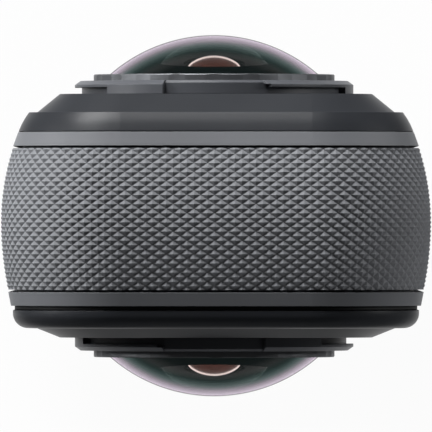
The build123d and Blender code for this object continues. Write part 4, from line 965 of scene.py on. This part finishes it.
# Boards and chips: fibreglass boards under green lacquer, with black epoxy chips and amber
# polyimide ribbons between them. A soft grey gel pad carries the processor's heat away.
solder_mask = moulded(
    "green_solder_mask", "#12402A", "#2A6A48", grain=0.6, depth=0.01, roughness=0.35, specular=0.5
)
dress(
    solder_mask,
    "main_board",
    "usb_board",
    "front_button_board",
    "side_button_board",
    "front_sensor_board",
    "rear_sensor_board",
)
black_epoxy = moulded(
    "black_epoxy", "#1B1B1D", "#333336", grain=0.15, depth=0.004, roughness=0.55, specular=0.4
)
dress(black_epoxy, "processor", "microphones", "speaker", "click_switches", "memory_card")
amber_polyimide = moulded(
    "amber_polyimide", "#B4651E", "#D08A45", grain=0.3, depth=0.002, roughness=0.3, specular=0.5
)
dress(amber_polyimide, "front_sensor_ribbon", "rear_sensor_ribbon")
sensor_face = moulded(
    "sensor_face", "#1A2430", "#55606E", grain=0.2, depth=0.001, roughness=0.15, specular=0.8
)
dress(sensor_face, "front_image_sensor", "rear_image_sensor")
thermal_gel = moulded(
    "thermal_gel", "#7C8A96", "#8C9AA6", grain=0.4, depth=0.01, roughness=0.75, specular=0.3
)
dress(thermal_gel, "thermal_pad")

# Optical core, heat spreader and chassis plate: bare aluminium, die-cast or pressed, and tumbled to
# an even grey. The core holds both barrels back to back and is screwed between the side walls.
die_cast_aluminium = moulded(
    "die_cast_aluminium",
    "#A6A8AA",
    "#C8CACC",
    grain=0.25,
    depth=0.008,
    roughness=0.45,
    specular=0.5,
    metallic=1.0,
)
dress(die_cast_aluminium, "optical_core", "heat_spreader", "chassis_plate")

# Screen: a sheet of polished black glass, bonded flush into the front cover's window. The display
# behind it is off, so both look black.
polished_cover_glass = moulded(
    "polished_cover_glass",
    "#07080A",
    "#1A1C1F",
    grain=4.0,
    depth=0.0005,
    roughness=0.06,
    specular=0.5,
    edge=0.2,
)
dress(polished_cover_glass, "screen_glass")
dark_display = moulded(
    "dark_display", "#0B0D10", "#0F1114", grain=0.2, depth=0.001, roughness=0.3, specular=0.4
)
dress(dark_display, "display_panel")

# Buttons and latch: moulded caps, each kept in its hole by a flange behind it. They are a shade
# lighter than the covers and polished a little by fingers.
moulded_button_cap = moulded(
    "moulded_button_cap", "#3C3E41", "#6A6C6F", grain=0.12, depth=0.004, roughness=0.4, specular=0.5
)
dress(
    moulded_button_cap,
    "shutter_button",
    "mode_button",
    "power_button",
    "quick_button",
    "battery_latch",
)

# Battery: a dark satin case that slides into its bay from the left, and meets brass contacts at
# the end of it. The tripod bush is turned from the same brass, a dull gold.
battery_case = moulded(
    "battery_case", "#232527", "#3A3C3F", grain=0.1, depth=0.002, roughness=0.35, specular=0.5
)
dress(battery_case, "battery_pack")
rolled_brass = moulded(
    "rolled_brass",
    "#B08A4A",
    "#D8B878",
    grain=0.2,
    depth=0.002,
    roughness=0.3,
    specular=0.5,
    metallic=1.0,
)
dress(rolled_brass, "tripod_bush", "battery_contacts")

# Screws, tripod plate, hinge pin, socket and card shell: steel, drawn or pressed and then plated,
# so they are bright beside the black mouldings.
plated_steel = moulded(
    "plated_steel",
    "#9A9C9E",
    "#C4C6C8",
    grain=0.15,
    depth=0.002,
    roughness=0.32,
    specular=0.5,
    metallic=1.0,
)
dress(
    plated_steel,
    "core_screws",
    "board_screws",
    "base_screws",
    "tripod_plate",
    "hinge_pin",
    "usb_socket",
    "card_shell",
)

# Status lights: moulded pins of milky acrylic that bring the light of two lamps out through the
# covers, each flush in its port. They are off, so they show as pale dots.
milky_acrylic = moulded(
    "milky_acrylic", "#C9CCD0", "#E2E4E6", grain=0.3, depth=0.001, roughness=0.25, specular=0.5
)
dress(milky_acrylic, "status_lights")
